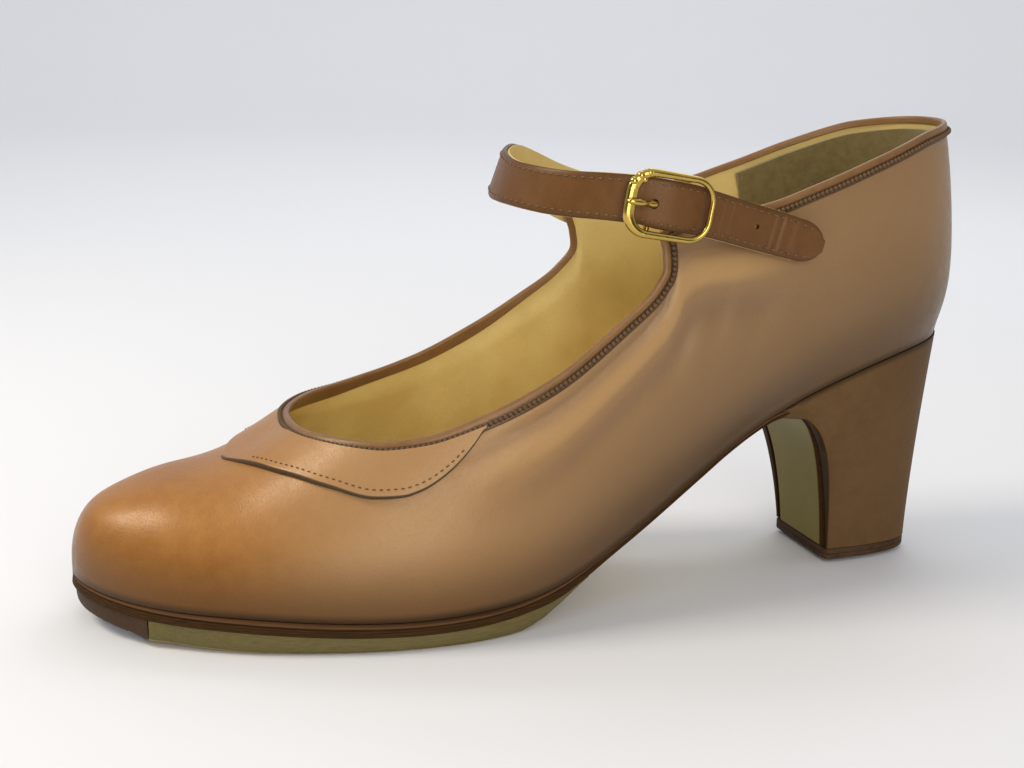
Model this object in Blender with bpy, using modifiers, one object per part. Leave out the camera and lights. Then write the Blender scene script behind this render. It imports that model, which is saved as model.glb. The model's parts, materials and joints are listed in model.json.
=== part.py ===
"""Left flamenco shoe, 223.5 mm long: lasted upper with instep strap, leather sole, nailed toe and heel.

The toe points along +X, the outer (lateral) side along +Y, and the shoe stands on z = 0.
Sizes are in millimetres from the back of the heel; MM turns them into metres.
"""
import math

import bmesh
import bpy
import numpy as np
from mathutils import Matrix

MM = 0.001
GAP = 0.3
LENGTH = 223.5
WALL = 2.0
SECTION_POWER = 2.4
TUCK_FADE = 9.0
SKIN_ROWS = 12

# The last, a row for each section. Widths are signed places of the two sides, feather is the height
# of the line where upper and sole meet, rise is the height of the section's crown above it, and the
# tucks are how far the feather lies inside the widest line.
LAST_COLUMNS = ("x", "lateral", "medial", "feather", "rise", "tuck_lateral", "tuck_medial")
LAST = (
    (0.0, 0.0, 0.0, 59.6, 0.0, 3.6, 3.6),
    (12.0, 20.2, -20.2, 58.7, 73.0, 3.3, 3.3),
    (30.0, 26.9, -26.9, 55.4, 93.0, 3.4, 3.4),
    (45.0, 28.2, -28.0, 49.6, 110.0, 5.0, 5.2),
    (62.0, 28.6, -28.0, 40.5, 128.0, 7.0, 9.0),
    (85.0, 29.6, -28.2, 25.6, 142.0, 5.0, 11.2),
    (102.0, 31.8, -29.8, 15.4, 128.0, 3.3, 10.4),
    (117.0, 35.4, -33.8, 9.6, 95.0, 2.0, 5.4),
    (134.0, 39.0, -38.8, 7.3, 67.0, 1.6, 2.3),
    (147.0, 39.7, -40.4, 6.8, 55.5, 1.5, 1.7),
    (160.0, 38.6, -40.4, 6.9, 46.0, 1.5, 1.5),
    (174.6, 35.4, -38.2, 7.5, 35.6, 1.5, 1.5),
    (187.0, 31.7, -34.8, 8.3, 28.3, 1.5, 1.5),
    (200.0, 26.2, -29.8, 9.0, 25.0, 1.5, 1.5),
    (210.0, 19.8, -23.6, 9.8, 21.5, 1.3, 1.3),
    (218.5, 11.2, -15.2, 11.0, 15.8, 1.0, 1.0),
    (223.5, -2.4, -2.4, 12.4, 0.0, 0.8, 0.8),
)

# The collar edge: for the line of leather that starts at station foot_x, where its top end lies.
COLLAR_COLUMNS = ("foot_x", "lateral_x", "lateral_z", "medial_x", "medial_z")
COLLAR = (
    (0.0, 5.2, 113.0, 5.2, 113.0),
    (14.0, 17.5, 110.4, 17.5, 110.4),
    (30.0, 34.0, 105.0, 34.0, 105.0),
    (45.0, 51.0, 99.0, 51.0, 99.0),
    (58.0, 66.0, 94.4, 66.8, 94.8),
    (67.0, 77.0, 93.0, 81.0, 93.8),
    (74.0, 86.0, 92.0, 92.0, 92.2),
    (79.5, 91.0, 89.0, 95.0, 87.8),
    (84.0, 90.2, 85.4, 93.6, 83.4),
    (89.0, 90.0, 81.6, 93.0, 79.4),
    (97.0, 92.6, 76.6, 97.4, 73.2),
    (107.0, 102.6, 68.2, 106.4, 66.6),
    (121.5, 118.0, 57.6, 119.0, 58.6),
    (138.0, 134.6, 50.1, 134.6, 51.0),
    (153.0, 147.0, 46.0, 147.0, 47.5),
    (168.0, 157.2, 44.5, 157.6, 45.7),
    (186.0, 165.2, 44.5, 165.6, 45.3),
    (204.0, 170.2, 44.4, 170.4, 44.8),
    (223.5, 172.4, 44.4, 172.4, 44.4),
)

# Lines of leather round the upper: number of ribs between stations on each side.
RIB_COUNTS = ((0.0, 66.0, 11), (66.0, 100.0, 12), (100.0, 206.0, 15), (206.0, LENGTH, 7))

# The binding folds over the collar edge.
BINDING_THICK = 0.6
BINDING_LEG = 1.8

# The throat overlay: how far it reaches down each line of leather from the collar edge.
OVERLAY_THICK = 1.0
OVERLAY_TOP = 2.6
OVERLAY_COLUMNS = ("foot_x", "lateral", "medial")
OVERLAY = (
    (137.0, 2.9, 2.9),
    (140.0, 5.4, 5.4),
    (144.0, 8.4, 8.4),
    (149.0, 10.8, 11.0),
    (153.0, 12.1, 12.6),
    (157.0, 12.8, 13.7),
    (164.0, 12.8, 14.3),
    (178.0, 11.9, 14.2),
    (190.0, 11.7, 14.0),
    (201.0, 12.3, 14.4),
    (210.0, 13.1, 15.0),
    (217.5, 14.4, 15.8),
    (222.0, 16.1, 16.6),
    (223.5, 17.8, 17.8),
)

# Sole layers.
# Thickness of the outsole along the waist and forepart, by station.
OUTSOLE_THICK = ((58.0, 2.2), (72.0, 1.4), (102.0, 1.5), (116.0, 2.8), (223.5, 2.8))
FLAP_THICK = 2.4
# How far the outsole stands out from the feather line, by station.
SOLE_MARGIN = (
    (60.0, -0.2),
    (110.0, -0.2),
    (136.0, 1.2),
    (185.0, 1.2),
    (208.0, 0.4),
    (223.5, -0.2),
)
# Height of the half sole's and toe piece's lower face, by station.
SOLE_BOTTOM = (
    (107.0, 8.0),
    (113.0, 4.2),
    (120.0, 1.3),
    (127.0, 0.1),
    (131.0, 0.0),
    (178.0, 0.0),
    (190.0, 0.3),
    (208.0, 1.5),
    (224.0, 4.6),
)
HALF_SOLE_BACK = 107.0
TOE_SPLIT = 207.8
# Slope of the outsole under the toe.
TOE_SLOPE = 0.16
# Edge of the outsole from top to bottom: outward step and share of the depth.
SOLE_EDGE = (
    (-0.3, 0.0),
    (0.0, 0.08),
    (0.0, 0.40),
    (-0.5, 0.48),
    (-0.15, 0.58),
    (-0.15, 0.92),
    (-0.5, 1.0),
)
# Edge of the half sole and toe piece from top to bottom: inset and share of the depth.
PLATE_EDGE = ((0.5, 0.0), (0.6, 0.55), (1.4, 1.0))
# Inner face of the flap that runs from the heel tip up the breast to the waist.
FLAP_COLUMNS = ("x", "z", "half_width")
FLAP = (
    (34.1, 4.3, 12.9),
    (34.8, 12.0, 13.2),
    (36.3, 22.0, 13.9),
    (38.6, 31.0, 15.1),
    (42.3, 38.4, 17.0),
    (46.2, 42.3, 19.0),
    (50.2, 44.0, 20.6),
    (54.2, 43.9, 21.4),
)
WAIST_START = 58.0
INSOLE_INSET = 2.7
INSOLE_THICK = 2.0

# Heel.
LIFT_Z = (0.9, 4.0)
TIP_BACK = 8.6
TIP_FRONT = 36.6
TIP_HALF = 14.0
SEAT_FRONT = 51.0
SEAT_MARGIN = 0.3
HEEL_FLARE = 1.35

# Nails.
HEEL_NAIL_RADIUS = 1.6
TOE_NAIL_RADIUS = 2.1
NAIL_PLATE = 0.35
NAIL_HEAD = 0.45
HEEL_NAIL_INSET = 3.4
TOE_NAIL_START = 208.4
TOE_NAIL_END = 220.6
TOE_NAIL_INSET = 2.0

# The strap from its root on the inner side over the instep to its tail on the outer side.
STRAP_THICK = 1.8
STRAP_COLUMNS = ("x", "y", "z", "above", "below", "lean")
STRAP = (
    (70.0, -29.0, 88.4, 4.6, 5.0, 0.0),
    (80.0, -29.3, 90.2, 5.2, 7.0, 0.0),
    (90.0, -29.1, 92.2, 5.6, 8.2, 0.0),
    (98.0, -27.6, 94.6, 5.8, 7.0, 0.08),
    (106.0, -23.6, 97.8, 6.0, 5.6, 0.2),
    (113.2, -16.8, 100.4, 6.0, 5.4, 0.32),
    (118.6, -8.6, 100.9, 5.4, 5.6, 0.36),
    (121.0, 0.6, 100.4, 5.0, 5.8, 0.36),
    (120.8, 9.6, 99.9, 4.7, 5.4, 0.34),
    (117.6, 17.8, 99.0, 5.0, 5.1, 0.28),
    (112.0, 24.6, 98.5, 5.1, 5.1, 0.2),
    (105.4, 29.4, 98.1, 5.4, 5.0, 0.08),
    (99.0, 32.0, 97.4, 5.6, 5.0, 0.0),
    (94.2, 32.8, 96.6, 5.7, 5.4, 0.0),
    (88.0, 32.8, 95.5, 5.6, 5.4, 0.0),
    (81.0, 31.9, 93.8, 5.3, 5.2, 0.0),
    (74.0, 30.6, 91.8, 5.1, 5.1, 0.0),
    (67.0, 29.8, 89.8, 5.1, 5.1, 0.0),
    (59.0, 29.5, 87.5, 4.9, 4.9, 0.0),
    (53.5, 29.4, 85.9, 4.0, 4.0, 0.0),
    (51.6, 29.4, 85.4, 2.4, 2.4, 0.0),
)
STRAP_RINGS = 52
BUCKLE_X = 92.8
BUCKLE_LENGTH = 21.4
BUCKLE_HEIGHT = 15.8
BUCKLE_CORNER = 4.8
BUCKLE_WIRE = 1.1
BUCKLE_BAR = 0.7
BUCKLE_PIVOT = 3.2
PRONG_WIRE = 0.75
PRONG_HOLE = 1.3
TAB_THICK = 1.0
TAB_HALF = 4.0


def smooth_curve(places, values):
    """Natural cubic curve through a column of a table."""
    p = np.asarray(places, float)
    v = np.asarray(values, float)
    step = np.diff(p)
    count = len(p)
    system = np.eye(count)
    right = np.zeros(count)
    for i in range(1, count - 1):
        system[i, i - 1:i + 2] = step[i - 1], 2.0 * (step[i - 1] + step[i]), step[i]
        right[i] = 6.0 * ((v[i + 1] - v[i]) / step[i] - (v[i] - v[i - 1]) / step[i - 1])
    bend = np.linalg.solve(system, right)

    def value(q):
        q = np.asarray(q, float)
        i = np.clip(np.searchsorted(p, q) - 1, 0, count - 2)
        a = (p[i + 1] - q) / step[i]
        b = (q - p[i]) / step[i]
        curve = (a ** 3 - a) * bend[i] + (b ** 3 - b) * bend[i + 1]
        return a * v[i] + b * v[i + 1] + curve * step[i] ** 2 / 6.0

    return value


def steady_curve(places, values):
    """Curve through a column of a table that never swings past its rows and is level at both ends."""
    p = np.asarray(places, float)
    v = np.asarray(values, float)
    step = np.diff(p)
    slope = np.diff(v) / step
    grade = np.zeros(len(p))
    for i in range(1, len(p) - 1):
        if slope[i - 1] * slope[i] > 0.0:
            before = 2.0 * step[i] + step[i - 1]
            after = step[i] + 2.0 * step[i - 1]
            grade[i] = (before + after) / (before / slope[i - 1] + after / slope[i])

    def value(q):
        q = np.asarray(q, float)
        i = np.clip(np.searchsorted(p, q) - 1, 0, len(p) - 2)
        t = (q - p[i]) / step[i]
        rise = v[i] * (2 * t ** 3 - 3 * t ** 2 + 1) + v[i + 1] * (3 * t ** 2 - 2 * t ** 3)
        lean = grade[i] * (t ** 3 - 2 * t ** 2 + t) + grade[i + 1] * (t ** 3 - t ** 2)
        return rise + lean * step[i]

    return value


def angle_of(x):
    """Angle round the last at a station; at both ends the outline closes square to the axis."""
    return np.arccos(np.clip(1.0 - 2.0 * np.asarray(x, float) / LENGTH, -1.0, 1.0))


def station(angle):
    """Distance from the back of the heel at an angle round the last."""
    return 0.5 * LENGTH * (1.0 - np.cos(angle))


def table_curves(columns, rows, kind):
    """One curve for each column of a table, over the angle of its first column."""
    table = np.array(rows, float)
    turn = angle_of(table[:, 0])
    return {name: kind(turn, table[:, k]) for k, name in enumerate(columns) if k}


LAST_CURVES = table_curves(LAST_COLUMNS, LAST, smooth_curve)


def last(name, x):
    """Value of a column of the last at a station."""
    return LAST_CURVES[name](angle_of(x))


def collar_rows():
    """Collar table with its two midline rows set on the crown of the last."""
    rows = [list(row) for row in COLLAR]
    for row in (rows[0], rows[-1]):
        crown_z = float(last("feather", row[1]) + last("rise", row[1]))
        row[2] = crown_z
        row[4] = crown_z
    return rows


COLLAR_CURVES = table_curves(COLLAR_COLUMNS, collar_rows(), steady_curve)
OVERLAY_CURVES = table_curves(OVERLAY_COLUMNS, OVERLAY, steady_curve)


def side_name(angle):
    """Side of the shoe at an angle: heel, outer side, toe, inner side."""
    return "lateral" if angle % (2.0 * math.pi) <= math.pi else "medial"


def fold(angle):
    """Angle counted from the heel on either side."""
    turned = angle % (2.0 * math.pi)
    return min(turned, 2.0 * math.pi - turned)


def outline(angle):
    """Widest line of the last in plan."""
    folded = fold(angle)
    return np.array((station(folded), float(LAST_CURVES[side_name(angle)](folded))))


def outward(angle):
    """Outward direction of the widest line in plan."""
    step = outline(angle + 0.004) - outline(angle - 0.004)
    step = step / np.linalg.norm(step)
    return np.array((-step[1], step[0]))


def feather(angle, margin=0.0):
    """Line where upper and sole meet, in plan, moved out by a margin."""
    tuck = float(LAST_CURVES["tuck_" + side_name(angle)](fold(angle)))
    return outline(angle) + outward(angle) * (margin - tuck)


def feather_z(x):
    """Height of the feather line at a station."""
    return last("feather", np.clip(x, 0.0, LENGTH))


def crown(x, y):
    """Height of the last over the feather line at a place in plan."""
    lateral, medial = last("lateral", x), last("medial", x)
    half = np.maximum(0.5 * (lateral - medial), 1e-6)
    across = np.clip(np.abs(y - 0.5 * (lateral + medial)) / half, 0.0, 1.0)
    return last("rise", x) * np.sqrt(1.0 - across ** SECTION_POWER)


def wall_y(x, z, side):
    """Sideways place of the last's wall at a station and height."""
    lateral, medial = float(last("lateral", x)), float(last("medial", x))
    share = np.clip((z - last("feather", x)) / last("rise", x), 0.0, 1.0)
    across = float((1.0 - share ** 2) ** (1.0 / SECTION_POWER))
    sign = 1.0 if side == "lateral" else -1.0
    return 0.5 * (lateral + medial) + sign * across * 0.5 * (lateral - medial)


def collar_point(angle):
    """Top end in plan of the line of leather that starts at an angle."""
    side = side_name(angle)
    folded = fold(angle)
    x = float(COLLAR_CURVES[side + "_x"](folded))
    z = float(COLLAR_CURVES[side + "_z"](folded))
    return np.array((x, wall_y(x, z, side)))


def rib(angle):
    """Points of one line of leather from the feather up to the collar, evenly spaced."""
    start, end = outline(angle), collar_point(angle)
    share = np.linspace(0.0, 1.0, 161)[:, None] ** 2
    plan = start + (end - start) * share
    height = crown(plan[:, 0], plan[:, 1])
    tuck = float(LAST_CURVES["tuck_" + side_name(angle)](fold(angle)))
    fade = np.exp(-(height / TUCK_FADE) ** 1.5)
    plan = plan - outward(angle) * (tuck * fade)[:, None]
    points = np.column_stack((plan, feather_z(plan[:, 0]) + height))
    run = np.concatenate(((0.0,), np.cumsum(np.linalg.norm(np.diff(points, axis=0), axis=1))))
    places = np.linspace(0.0, run[-1], SKIN_ROWS)
    return np.column_stack([np.interp(places, run, points[:, k]) for k in range(3)])


def rib_angles():
    """Angles of all the ribs, once round from the back of the heel."""
    lateral = []
    for first, end, count in RIB_COUNTS:
        turn = np.linspace(float(angle_of(first)), float(angle_of(end)), count, endpoint=False)
        lateral.extend(turn.tolist())
    return lateral + [math.pi] + [2.0 * math.pi - a for a in reversed(lateral[1:])]


def unit(vectors):
    """Vectors of length one."""
    v = np.asarray(vectors, float)
    return v / np.linalg.norm(v, axis=-1, keepdims=True)


def grid_normals(grid):
    """Outward directions at the points of a closed strip of ribs."""
    along = np.roll(grid, -1, axis=0) - np.roll(grid, 1, axis=0)
    up = np.gradient(grid, axis=1)
    return unit(np.cross(up, along))


PARTS = bpy.data.collections.new("flamenco_shoe")
CUTTERS = bpy.data.collections.new("cutters")


def clear_scene():
    """Empty the scene and link the two collections."""
    for item in list(bpy.data.objects):
        bpy.data.objects.remove(item)
    bpy.context.scene.collection.children.link(PARTS)
    bpy.context.scene.collection.children.link(CUTTERS)


def material(name, color, roughness, metallic=0.0):
    """Principled material of one sub-part."""
    made = bpy.data.materials.new(name)
    made.use_nodes = True
    shader = made.node_tree.nodes["Principled BSDF"]
    shader.inputs["Base Color"].default_value = (*color, 1.0)
    shader.inputs["Roughness"].default_value = roughness
    shader.inputs["Metallic"].default_value = metallic
    return made


def add_mesh(name, points, faces, finish=None):
    """Object from points in millimetres and faces; a cutter when it has no finish."""
    mesh = bpy.data.meshes.new(name)
    mesh.from_pydata((np.asarray(points, float) * MM).tolist(), [], faces)
    mesh.validate()
    item = bpy.data.objects.new(name, mesh)
    if finish is None:
        CUTTERS.objects.link(item)
        item.hide_render = True
        item.display_type = "WIRE"
    else:
        PARTS.objects.link(item)
        mesh.materials.append(finish)
    return item


def face_out(item):
    """Turn all faces of a closed mesh outward."""
    work = bmesh.new()
    work.from_mesh(item.data)
    bmesh.ops.recalc_face_normals(work, faces=work.faces[:])
    work.to_mesh(item.data)
    work.free()
    return item


def thicken(item, thickness, offset):
    """Give an open surface a wall: offset -1 grows inward, 1 outward."""
    wall = item.modifiers.new("wall", "SOLIDIFY")
    wall.thickness = thickness * MM
    wall.offset = offset
    wall.use_even_offset = True
    return item


def boolean(item, other, operation):
    """Cut an object with another or join the two."""
    change = item.modifiers.new(operation.lower(), "BOOLEAN")
    change.operation = operation
    change.solver = "EXACT"
    change.object = other
    return item


def loft(name, rings, finish=None, closed=False):
    """Solid through rings with equal counts of points, capped at both ends or run round in a loop."""
    size = len(rings[0])
    points = np.concatenate([np.asarray(ring, float) for ring in rings])
    faces = []
    spans = len(rings) if closed else len(rings) - 1
    for i in range(spans):
        a, b = i * size, ((i + 1) % len(rings)) * size
        for k in range(size):
            n = (k + 1) % size
            faces.append((a + k, a + n, b + n, b + k))
    if not closed:
        faces.append(tuple(range(size)))
        faces.append(tuple(range(len(points) - size, len(points))))
    return face_out(add_mesh(name, points, faces, finish))


def build_upper(skin, finish):
    """Hollow wall of leather over the last, open at the collar and underneath."""
    ribs, rows = skin.shape[:2]
    faces = []
    for j in range(ribs):
        n = (j + 1) % ribs
        for k in range(rows - 1):
            faces.append((j * rows + k, j * rows + k + 1, n * rows + k + 1, n * rows + k))
    return thicken(add_mesh("upper", skin.reshape(-1, 3), faces, finish), WALL, -1.0)


def build_binding(skin, normals, finish):
    """Leather folded over the collar edge, with a leg on each face of the wall."""
    edge, out = skin[:, -1], normals[:, -1]
    along = unit(np.roll(edge, -1, axis=0) - np.roll(edge, 1, axis=0))
    down = unit(np.cross(along, out))
    down = np.where((down * (skin[:, -3] - edge)).sum(axis=1, keepdims=True) > 0.0, down, -down)
    near, far = GAP, GAP + BINDING_THICK
    profile = (
        (near, BINDING_LEG), (far - 0.2, BINDING_LEG), (far, BINDING_LEG - 0.7), (far, -0.2),
        (-0.5 * WALL, -far - 0.1), (-WALL - far, -0.2), (-WALL - far, BINDING_LEG - 0.4),
        (-WALL - near, BINDING_LEG - 0.4), (-WALL - near, -near), (near, -near),
    )
    rings = [[edge[j] + out[j] * n + down[j] * d for n, d in profile] for j in range(len(edge))]
    return loft("topline_binding", rings, finish, closed=True)


def walk_down(line, distance):
    """Point on a line of leather at a distance down from the collar edge."""
    run = np.concatenate(((0.0,), np.cumsum(np.linalg.norm(np.diff(line[::-1], axis=0), axis=1))))
    return np.array([np.interp(distance, run, line[::-1, k]) for k in range(3)])


def build_overlay(angles, skin, normals, finish):
    """Leather overlay on the vamp, laid on the upper's own lines."""
    limit = float(angle_of(OVERLAY[0][0]))
    chosen = [j for j, a in enumerate(angles) if fold(a) >= limit]
    points = []
    shares = (0.0, 0.34, 0.67, 1.0)
    for j in chosen:
        reach = float(OVERLAY_CURVES[side_name(angles[j])](fold(angles[j])))
        for share in shares:
            distance = OVERLAY_TOP + (reach - OVERLAY_TOP) * share
            points.append(walk_down(skin[j], distance) + normals[j, -3] * (GAP + 0.1))
    rows = len(shares)
    faces = []
    for j in range(len(chosen) - 1):
        for k in range(rows - 1):
            a, b = j * rows + k, (j + 1) * rows + k
            faces.append((a, b, b + 1, a + 1))
    return thicken(add_mesh("throat_overlay", points, faces, finish), OVERLAY_THICK, 1.0)


def sole_angles(first, end, count):
    """Angles of the sole's sections between two stations."""
    return np.linspace(float(angle_of(first)), float(angle_of(end)), count)


def edge_margin(x):
    """How far the outsole stands out from the feather line."""
    return float(np.interp(x, *np.array(SOLE_MARGIN).T))


def sole_depth(x):
    """Thickness of the outsole at a station."""
    return float(np.interp(x, *np.array(OUTSOLE_THICK).T))


def sole_slope(x):
    """Slope of the feather line at a station."""
    return float(feather_z(x + 0.5) - feather_z(x - 0.5))


def build_outsole(finish):
    """Leather sole from the heel tip up the breast, along the waist and forepart to the toe."""
    turns = np.concatenate((sole_angles(WAIST_START, 206.0, 19), sole_angles(206.0, LENGTH, 9)[1:]))
    turns[-1] -= 0.035
    x = station(turns)
    path = np.array([row[:2] for row in FLAP] + [(q, float(feather_z(q)) - GAP) for q in x])
    slope = unit(np.gradient(path, axis=0))
    toe = path[:, 0] > TOE_SPLIT
    slope[toe] = unit(np.column_stack((np.ones(toe.sum()), np.full(toe.sum(), TOE_SLOPE))))
    rings = []
    for i, (x_i, z_i) in enumerate(path):
        depth_way = np.array((slope[i, 1], 0.0, -slope[i, 0]))
        if i < len(FLAP):
            half = FLAP[i][2]
            ends = [(np.array((x_i, s * half, z_i)), np.array((0.0, s, 0.0))) for s in (1.0, -1.0)]
            depth = FLAP_THICK
        else:
            ends = []
            for angle in (turns[i - len(FLAP)], 2.0 * math.pi - turns[i - len(FLAP)]):
                flat = feather(angle, edge_margin(x_i))
                out = outward(angle)
                ends.append((np.array((*flat, float(feather_z(flat[0])) - GAP)), np.array((*out, 0.0))))
            depth = sole_depth(x_i)
        left = [ends[0][0] + ends[0][1] * o + depth_way * depth * d for o, d in SOLE_EDGE]
        right = [ends[1][0] + ends[1][1] * o + depth_way * depth * d for o, d in reversed(SOLE_EDGE)]
        rings.append(left + right)
    return loft("outsole", rings, finish)


def under_sole(x):
    """Height of the outsole's lower face in the forepart."""
    return float(feather_z(x)) - GAP - sole_depth(x) / math.cos(math.atan(sole_slope(x)))


def bottom_plate(name, turns, finish, split=None):
    """Layer under the outsole with a bevelled edge; split squares one end off at a station."""
    floor = np.array(SOLE_BOTTOM)
    rings = []
    for turn in turns:
        left, right = [], []
        for angle, points in ((turn, left), (2.0 * math.pi - turn, right)):
            for inset, share in PLATE_EDGE:
                flat = feather(angle, edge_margin(station(turn)) - inset)
                if split is not None and turn == turns[split]:
                    flat[0] = station(turn)
                top = under_sole(flat[0]) - GAP
                bottom = float(np.interp(flat[0], floor[:, 0], floor[:, 1]))
                points.append(np.array((*flat, top + (bottom - top) * share)))
        rings.append(left + right[::-1])
    return loft(name, rings, finish)


def build_insole(finish):
    """Board inside the upper, on the sole and the heel seat."""
    low, high = 0.2, 0.2 + INSOLE_THICK
    rings = []
    for turn in np.linspace(0.06, math.pi - 0.05, 34):
        ring = []
        for angle, levels in ((turn, (low, high)), (2.0 * math.pi - turn, (high, low))):
            flat = feather(angle, -INSOLE_INSET)
            ring.extend((*flat, float(feather_z(flat[0])) + level) for level in levels)
        rings.append(ring)
    return loft("insole", rings, finish)


def tip_ring(z, inset=0.0, front=TIP_FRONT, count=22):
    """Outline of the heel tip: a straight front and a round back."""
    ring = []
    for u in np.linspace(0.0, 1.0, count):
        turn = math.pi * u
        x = front - inset - (front - TIP_BACK - 2.0 * inset) * math.sin(turn) ** 0.8
        c = math.cos(turn)
        ring.append((x, (TIP_HALF - inset) * math.copysign(abs(c) ** 0.55, c), z))
    return ring


def build_heel(finish):
    """Covered heel block from the lift up to the seat, hollowed at the breast for the flap."""
    base_z = LIFT_Z[1] + GAP
    front = FLAP[0][0] - GAP
    low = np.array(tip_ring(base_z, 0.0, front))
    half_turn = float(angle_of(SEAT_FRONT))
    top = []
    for u in np.linspace(0.0, 1.0, len(low)):
        flat = feather((half_turn * (1.0 - 2.0 * u)) % (2.0 * math.pi), SEAT_MARGIN)
        if u in (0.0, 1.0):
            flat[0] = SEAT_FRONT
        top.append((*flat, float(feather_z(flat[0])) - GAP))
    top = np.array(top)
    weight = ((top[:, 0] - top[:, 0].min()) / (SEAT_FRONT - top[:, 0].min())) ** 2
    rings = []
    for row_x, row_z in [row[:2] for row in FLAP[:7]] + [(SEAT_FRONT + 3.0 * GAP, top[0, 2])]:
        level = (row_z - base_z) / (top[0, 2] - base_z)
        flare = level ** HEEL_FLARE
        breast = (row_x - (3.0 if level > 0.0 else 1.0) * GAP - front) / (SEAT_FRONT - front)
        move = weight * breast + (1.0 - weight) * flare
        x = low[:, 0] + (top[:, 0] - low[:, 0]) * move
        y = low[:, 1] + (top[:, 1] - low[:, 1]) * flare
        rings.append(np.column_stack((x, y, base_z + (top[:, 2] - base_z) * level)))
    return loft("heel_block", rings, finish)


def nail_discs(name, places, radius, z_low, z_high, sides=7):
    """Round nail heads as one mesh of separate discs."""
    points, faces = [], []
    for i, (x, y) in enumerate(places):
        start = len(points)
        for z in (z_low, z_high):
            for k in range(sides):
                turn = 2.0 * math.pi * (k + 0.5 * (i % 2)) / sides
                points.append((x + radius * math.cos(turn), y + radius * math.sin(turn), z))
        faces.append(tuple(range(start + sides - 1, start - 1, -1)))
        faces.append(tuple(range(start + sides, start + 2 * sides)))
        for k in range(sides):
            n = (k + 1) % sides
            faces.append((start + k, start + n, start + sides + n, start + sides + k))
    return face_out(add_mesh(name, points, faces))


def nail_rows(x_start, x_end, pitch, room):
    """Places of nails in staggered rows; room gives the two sides at a station."""
    places = []
    middle = 0.5 * sum(room(x_start))
    for row in range(int((x_end - x_start) / (pitch * 0.9)) + 1):
        x = x_start + row * pitch * 0.9
        left, right = room(x)
        for k in range(-8, 9):
            y = middle + (k + 0.5 * (row % 2)) * pitch
            if right + 0.3 * pitch < y < left - 0.3 * pitch:
                places.append((x, y))
    return places


def build_heel_nails(finish):
    """Nail heads under the heel tip on the plate that their rims make together."""
    inset = HEEL_NAIL_INSET
    ring = np.array(tip_ring(NAIL_HEAD - 0.1, inset))
    upper_ring = ring + (0.0, 0.0, LIFT_Z[0] - GAP - ring[0, 2])
    plate = loft("heel_nails", [ring, upper_ring], finish)

    def room(x):
        share = np.clip((TIP_FRONT - inset - x) / (TIP_FRONT - TIP_BACK - 2.0 * inset), 0.0, 1.0)
        half = (TIP_HALF - inset) * math.sqrt(1.0 - share ** 2.5) ** 0.55
        return half, -half

    pitch = 2.0 * HEEL_NAIL_RADIUS + 0.15
    places = nail_rows(TIP_BACK + inset + 2.0, TIP_FRONT - inset - 1.4, pitch, room)
    discs = nail_discs("heel_nail_heads", places, HEEL_NAIL_RADIUS, 0.0, NAIL_HEAD)
    return boolean(plate, discs, "UNION")


def build_toe_nails(finish):
    """Nail heads under the toe, on a plate that follows the rise of the toe."""
    floor = np.array(SOLE_BOTTOM)
    start, end = TOE_NAIL_START, TOE_NAIL_END
    z_start, z_end = (float(np.interp(x, floor[:, 0], floor[:, 1])) for x in (start, end))
    pitch_up = math.atan2(z_end - z_start, end - start)

    def room(x):
        turn = float(angle_of(min(x, LENGTH)))
        inset = TOE_NAIL_INSET + 0.2
        return tuple(feather(a, edge_margin(x) - inset)[1] for a in (turn, 2.0 * math.pi - turn))

    turns = np.linspace(float(angle_of(start)), float(angle_of(end)), 9)
    left = [feather(a, edge_margin(station(a)) - TOE_NAIL_INSET) for a in turns]
    right = [feather(2.0 * math.pi - a, edge_margin(station(a)) - TOE_NAIL_INSET) for a in turns[::-1]]
    left[0][0] = right[-1][0] = start
    plan = np.array(left + right)
    plate_z = -GAP - NAIL_PLATE
    low = np.column_stack((plan, np.full(len(plan), plate_z)))
    high = np.column_stack((plan, np.full(len(plan), -GAP)))
    plate = loft("toe_nails", [low, high], finish)
    places = nail_rows(start + 1.9, end - 1.2, 2.0 * TOE_NAIL_RADIUS + 0.15, room)
    discs = nail_discs("toe_nail_heads", places, TOE_NAIL_RADIUS, plate_z - NAIL_HEAD, -GAP - 0.1)
    boolean(plate, discs, "UNION")
    tilt = Matrix.Translation((start * MM, 0.0, z_start * MM)) @ Matrix.Rotation(-pitch_up, 4, "Y")
    tilt = tilt @ Matrix.Translation((-start * MM, 0.0, 0.0))
    for item in (plate, discs):
        item.data.transform(tilt)
    return plate


def strap_path():
    """Strap sections: middle, forward, outward and upward directions and half widths."""
    table = np.array(STRAP, float)
    run = np.concatenate(((0.0,), np.cumsum(np.linalg.norm(np.diff(table[:, :3], axis=0), axis=1))))
    band = np.linspace(0.0, run[-3], STRAP_RINGS - 3)
    places = np.concatenate((band, np.linspace(run[-3], run[-1], 4)[1:]))
    middle = np.column_stack([smooth_curve(run, table[:, k])(places) for k in range(3)])
    above, below, lean = (steady_curve(run, table[:, k])(places) for k in (3, 4, 5))
    forward = unit(np.gradient(middle, axis=0))
    rough = unit(np.column_stack((-lean, np.zeros(len(lean)), np.ones(len(lean)))))
    up = unit(rough - forward * (rough * forward).sum(axis=1, keepdims=True))
    out = np.cross(forward, up)
    return middle, forward, out, up, above, below


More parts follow.
